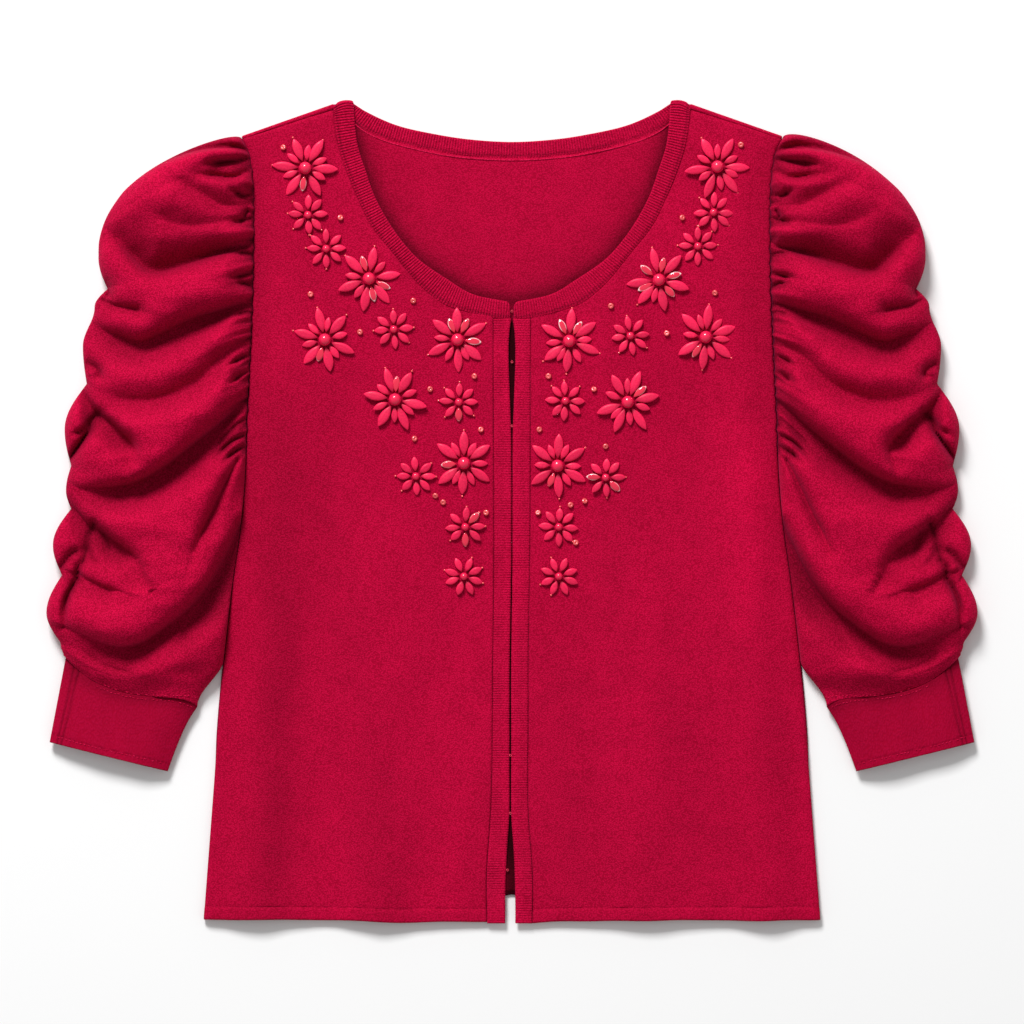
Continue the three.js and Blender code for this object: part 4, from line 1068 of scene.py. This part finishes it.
def stitchRow(line, draws):  # short light stitches along a line on the cloth
    length = alongLine(line)
    parts = []
    for start in np.arange(1, length[-1] - 3, stitches["pitch"]):
        if draws.uniform() > stitches["shown"]:
            continue
        places = start + np.linspace(0, stitches["length"] * draws.uniform(0.7, 1.2), 7)
        middle = readAlong(places, length, line)
        lean = draws.uniform(-0.5, 0.5, 2) * stitches["wander"]
        middle[:, 1] += mix(lean[0], lean[1], np.linspace(0, 1, 7)) + draws.uniform(-0.3, 0.3)
        sideways = np.linspace(-0.5, 0.5, 5)[None, :, None] * np.array([0, stitches["width"], 0])
        grid = middle[:, None] + sideways + np.array([0, 0, stitches["thick"] * 0.5])
        parts.append(closedSheet(grid, rimHalf(grid, stitches["thick"])))
    return joined(parts)


stitchDraws = np.random.default_rng(77)
leftRows = joined([stitchRow(line, stitchDraws) for line in (leftPuffLine, *leftCuffLines)])
rightRows = joined([stitchRow(line, stitchDraws) for line in (rightPuffLine, *rightCuffLines)])
placePiece("cuffStitches", joined([leftRows, mirrored(rightRows)]), threadMaterial, mergeAt=0.005)
print("cuffs are sewn on")


# beaded flowers

flowers = {
    # outward x, y, angles of the six long petals seen from above on this side
    "largeLeft": [
        (158, 264, (119, 61, -2, -52, -112, -172)),
        (113, 177, (102, 48, -17, -79, -131, -172)),
        (149, 133, (84, 19, -39, -96, -147, 136)),
        (44, 130, (85, 35, -22, -95, -142, 150)),
        (89, 83, (68, 12, -56, -114, -160, 120)),
        (35, 34, (87, 33, -29, -87, -145, 141)),
    ],
    "largeRight": [
        (159, 263, (58, 112, 175, -125, -61, -2)),
        (110, 178, (80, 8.5, -50, -100, -159, 136)),
        (144, 131, (103, 49, -24, -80, -131, 164)),
        (42, 131, (91, 30, -40, -88, -153, 141)),
        (90, 85, (107, 59, -13, -67, -122, 170)),
        (37, 36, (90, 35, -35, -93, -141, 144)),
    ],
    # outward x, y, turn
    "smallLeft": [(155, 229, 0), (143, 203, 0), (91, 134, 9), (41, 84, 0), (72, 25, 0), (36, -13, 0),
                  (36, -51, 22.5)],
    "smallRight": [(157, 227, 0), (143, 201, 0), (91, 139, -4), (41, 83, 0), (74, 26, 0), (36, -13, 0),
                   (37, -51, 22.5)],
    "longPetal": {"start": 5.4, "end": 25.2, "width": 7.5, "rise": 2.3},
    "shortPetal": {"start": 5.6, "end": 18.4, "width": 5.6, "rise": 2.0},
    "smallPetal": {"start": 3.6, "end": 15.4, "width": 5.7, "rise": 1.9},
    "glassShare": 0.07,
    "tipShare": 0.45,
    "tipBead": 0.85,
    "largePearl": 4.85,
    "smallPearl": 3.0,
    "rings": 12,
    "around": 14,
}


def petalPart(place, angle, kind, level, draws):
    rings, around = flowers["rings"], flowers["around"]
    start, end = kind["start"], kind["end"] * draws.uniform(0.96, 1.03)
    a = -np.cos(np.linspace(0, math.pi, rings + 1))
    halfWide = kind["width"] / 2 * draws.uniform(0.94, 1.06) * (1 - np.abs(a) ** 2.1) ** 0.92
    halfWide = halfWide * (1 + 0.16 * a - 0.1 * a * a)
    rise = kind["rise"] * (1 - np.abs(a) ** 3) ** 0.6
    theta = np.linspace(0, 2 * math.pi, around, endpoint=False)
    across = halfWide[:, None] * np.cos(theta)[None]
    lift = np.sin(theta)
    dome = np.abs(lift) ** 0.62 - 0.16 * np.abs(lift) ** 8      # a low dish inside a raised rim
    height = rise[:, None] * np.where(lift > 0, dome, -0.25 * np.abs(lift))[None]
    middle, halfLong = (start + end) / 2, (end - start) / 2
    along = (middle + a * halfLong)[:, None] + np.zeros_like(across)
    tilt = math.radians(draws.uniform(1, 5))
    across, height = turned(across, height, math.radians(draws.uniform(-9, 9)))
    height = height + 1.45 - (along - start) * math.tan(tilt) * 0.25
    x, y = turned(along, across, math.radians(angle))
    side = np.abs(np.cos(theta))[None]
    # painted highlight along each petal's rim and tip, painted shade underneath and towards the flower's
    # middle
    rim = bell(side - 0.84, 0.12) + 0.8 * bell(a[:, None] - 0.86, 0.12)
    light = np.where(lift > 0.12, 0.92 + 0.3 * np.minimum(rim, 1), 0.4)
    light = light * mix(0.62, 1, smoothStep((a[:, None] + 1) / 0.7)) * draws.uniform(0.88, 1.06)
    points = np.stack([x + place[0], y + place[1], height + level, light], axis=2).reshape(-1, 4)
    return points, gridQuads(closedRows(rings + 1, around))[:, ::-1]


def ballPart(centre, radius, rings=12, around=22):
    phi = np.linspace(0, math.pi, rings + 1)[:, None]
    theta = np.linspace(0, 2 * math.pi, around, endpoint=False)[None]
    x = centre[0] + radius * np.sin(phi) * np.cos(theta)
    y = centre[1] + radius * np.sin(phi) * np.sin(theta)
    z = centre[2] + radius * np.cos(phi) + 0 * theta
    return np.stack([x, y, z], axis=2).reshape(-1, 3), gridQuads(closedRows(rings + 1, around))


def clothTop(x, y, seed):
    return float(frontMiddle(np.array(x), np.array(y), seed)) + pattern["wall"] / 2


def sideBeads(side, large, small, seed):
    draws = np.random.default_rng(seed + 70)
    tipDraws = np.random.default_rng(seed + 90)
    petals, pearls, glass, tips = [], [], [], []

    def addTip(place, angle, kind, level):
        if tipDraws.uniform() < flowers["tipShare"]:
            turn, far = math.radians(angle), kind["end"] + 0.2
            centre = (place[0] + far * math.cos(turn), place[1] + far * math.sin(turn), level + 0.9)
            tips.append(ballPart(centre, flowers["tipBead"], rings=6, around=10))

    for x, y, angles in large:
        level = clothTop(x, y, seed)
        place = (side * x, y)
        ordered = sorted(a % 360 for a in angles)
        for k, angle in enumerate(ordered):
            nextAngle = ordered[(k + 1) % 6] + (360 if k == 5 else 0)
            petals.append(petalPart(place, angle, flowers["longPetal"], level, draws))
            addTip(place, angle, flowers["longPetal"], level)
            between = (angle + nextAngle) / 2 + draws.uniform(-4, 4)
            chosen = glass if draws.uniform() < 3 * flowers["glassShare"] else petals
            chosen.append(petalPart(place, between, flowers["shortPetal"], level, draws))
        pearls.append(ballPart((*place, level + flowers["largePearl"] * 0.72), flowers["largePearl"]))
    for x, y, turn in small:
        level = clothTop(x, y, seed)
        place = (side * x, y)
        for k in range(8):
            angle = side * turn + k * 45 + draws.uniform(-5, 5)
            chosen = glass if draws.uniform() < flowers["glassShare"] else petals
            chosen.append(petalPart(place, angle, flowers["smallPetal"], level, draws))
            addTip(place, angle, flowers["smallPetal"], level)
        height = level + flowers["smallPearl"] * 1.05
        pearls.append(ballPart((*place, height), flowers["smallPearl"], rings=10, around=18))
    return petals, pearls, glass, tips


def placeBeads(name, parts, material):
    placePiece(name, joined(parts), material, mergeAt=0.005)


leftBeads = sideBeads(1, flowers["largeLeft"], flowers["smallLeft"], front["seedLeft"])
rightBeads = sideBeads(-1, flowers["largeRight"], flowers["smallRight"], front["seedRight"])
leftPetals, leftPearls, leftGlass, leftTips = leftBeads
rightPetals, rightPearls, rightGlass, rightTips = rightBeads
placeBeads("petalsLeft", leftPetals, beadMaterial)
placeBeads("petalsRight", rightPetals, beadMaterial)
placeBeads("pearls", leftPearls + rightPearls, pearlMaterial)
placeBeads("glassPetals", leftGlass + rightGlass, glassMaterial)

seeds = {
    "left": [(176, 281), (131, 225), (156, 167), (76, 157), (119, 136), (28, 103), (63, 93), (21, 62),
             (72, 49), (56, 7), (45, 4), (20, -2), (49, -25)],
    "right": [(176, 279), (132, 225), (155, 166), (76, 161), (117, 137), (29, 103), (63, 93), (24, 62),
              (75, 55), (59, 11), (53, 6), (20, -2)],
    "radius": 1.9,
    "hole": 0.5,
}


def ringPart(centre, ring, thick, draws, turns=16, around=10):
    theta = np.linspace(0, 2 * math.pi, turns, endpoint=False)[:, None]
    phi = np.linspace(0, 2 * math.pi, around, endpoint=False)[None]
    x = (ring + thick * np.cos(phi)) * np.cos(theta)
    y = (ring + thick * np.cos(phi)) * np.sin(theta)
    z = thick * np.sin(phi) + 0 * theta
    y, z = turned(y, z, math.radians(draws.uniform(0, 35)))      # it leans a little, any way round
    x, y = turned(x, y, draws.uniform(0, 2 * math.pi))
    index = closedRows(turns, around)
    index = np.vstack([index, index[:1]])
    points = np.stack([x, y, z], axis=2).reshape(-1, 3) + np.array(centre)
    return points, gridQuads(index)[:, ::-1]


seedDraws = np.random.default_rng(91)
seedParts = []
for side, key, clothSeed in ((1, "left", front["seedLeft"]), (-1, "right", front["seedRight"])):
    for x, y in seeds[key]:
        height = clothTop(x, y, clothSeed) + seeds["radius"] * 0.8
        ring, thick = (seeds["radius"] + seeds["hole"]) / 2, (seeds["radius"] - seeds["hole"]) * 0.75
        seedParts.append(ringPart((side * x, y, height), ring, thick, seedDraws, 20, 14))
placeBeads("seedBeads", seedParts + leftTips + rightTips, seedMaterial)

hooks = {
    "places": [(0, 153), (0, 114), (0, 64.7), (-1.3, -188.7), (-1.3, -233.3), (-3.5, -277)],
    "height": 4.4,
    "ring": 0.8,
    "thick": 0.3,
}
hookParts = [ringPart((x, y, hooks["height"]), hooks["ring"], hooks["thick"], seedDraws)
             for x, y in hooks["places"]]
placeBeads("hooks", hookParts, hookMaterial)
print("beads are sewn on")


# floor, light and camera

stageSetup = {
    "cameraHeight": 6.0,
    "viewWidth": 0.7885,
    "viewCentre": (0.0, -0.0015),
    "floorColour": (0.86, 0.86, 0.86),
    "keyPower": 290.0,
    "keyPlace": (-1.2, 3.6, 3.0),
    "keySize": 1.4,
    "skyStrength": 0.46,
}

floorMesh = bpy.data.meshes.new("floor")
floorMesh.from_pydata([(-6, -6, 0), (6, -6, 0), (6, 6, 0), (-6, 6, 0)], [], [(0, 1, 2, 3)])
floor = bpy.data.objects.new("floor", floorMesh)
floor.location.z = -0.0005
scene.collection.objects.link(floor)
floorMaterial, floorTree, floorShader = newMaterial("paleFloor")
setInputs(floorTree, floorShader, {"Base Color": (*stageSetup["floorColour"], 1), "Roughness": 0.9})
floor.data.materials.append(floorMaterial)

world = bpy.data.worlds.new("studio")
scene.world = world
world.use_nodes = True
sky = world.node_tree.nodes["Background"]
setInputs(world.node_tree, sky, {"Color": (1, 1, 1, 1), "Strength": stageSetup["skyStrength"]})

keyData = bpy.data.lights.new("keyLight", "AREA")
keyData.energy = stageSetup["keyPower"]
keyData.size = stageSetup["keySize"]
keyLight = bpy.data.objects.new("keyLight", keyData)
keyLight.location = stageSetup["keyPlace"]
keyLight.rotation_euler = (-keyLight.location).to_track_quat("-Z", "Y").to_euler()
scene.collection.objects.link(keyLight)

cameraData = bpy.data.cameras.new("camera")
cameraData.sensor_width = 36
cameraData.lens = 36 * stageSetup["cameraHeight"] / stageSetup["viewWidth"]
cameraData.clip_end = 50
camera = bpy.data.objects.new("camera", cameraData)
camera.location = (*stageSetup["viewCentre"], stageSetup["cameraHeight"])
scene.collection.objects.link(camera)
scene.camera = camera
scene.view_settings.view_transform = "Standard"
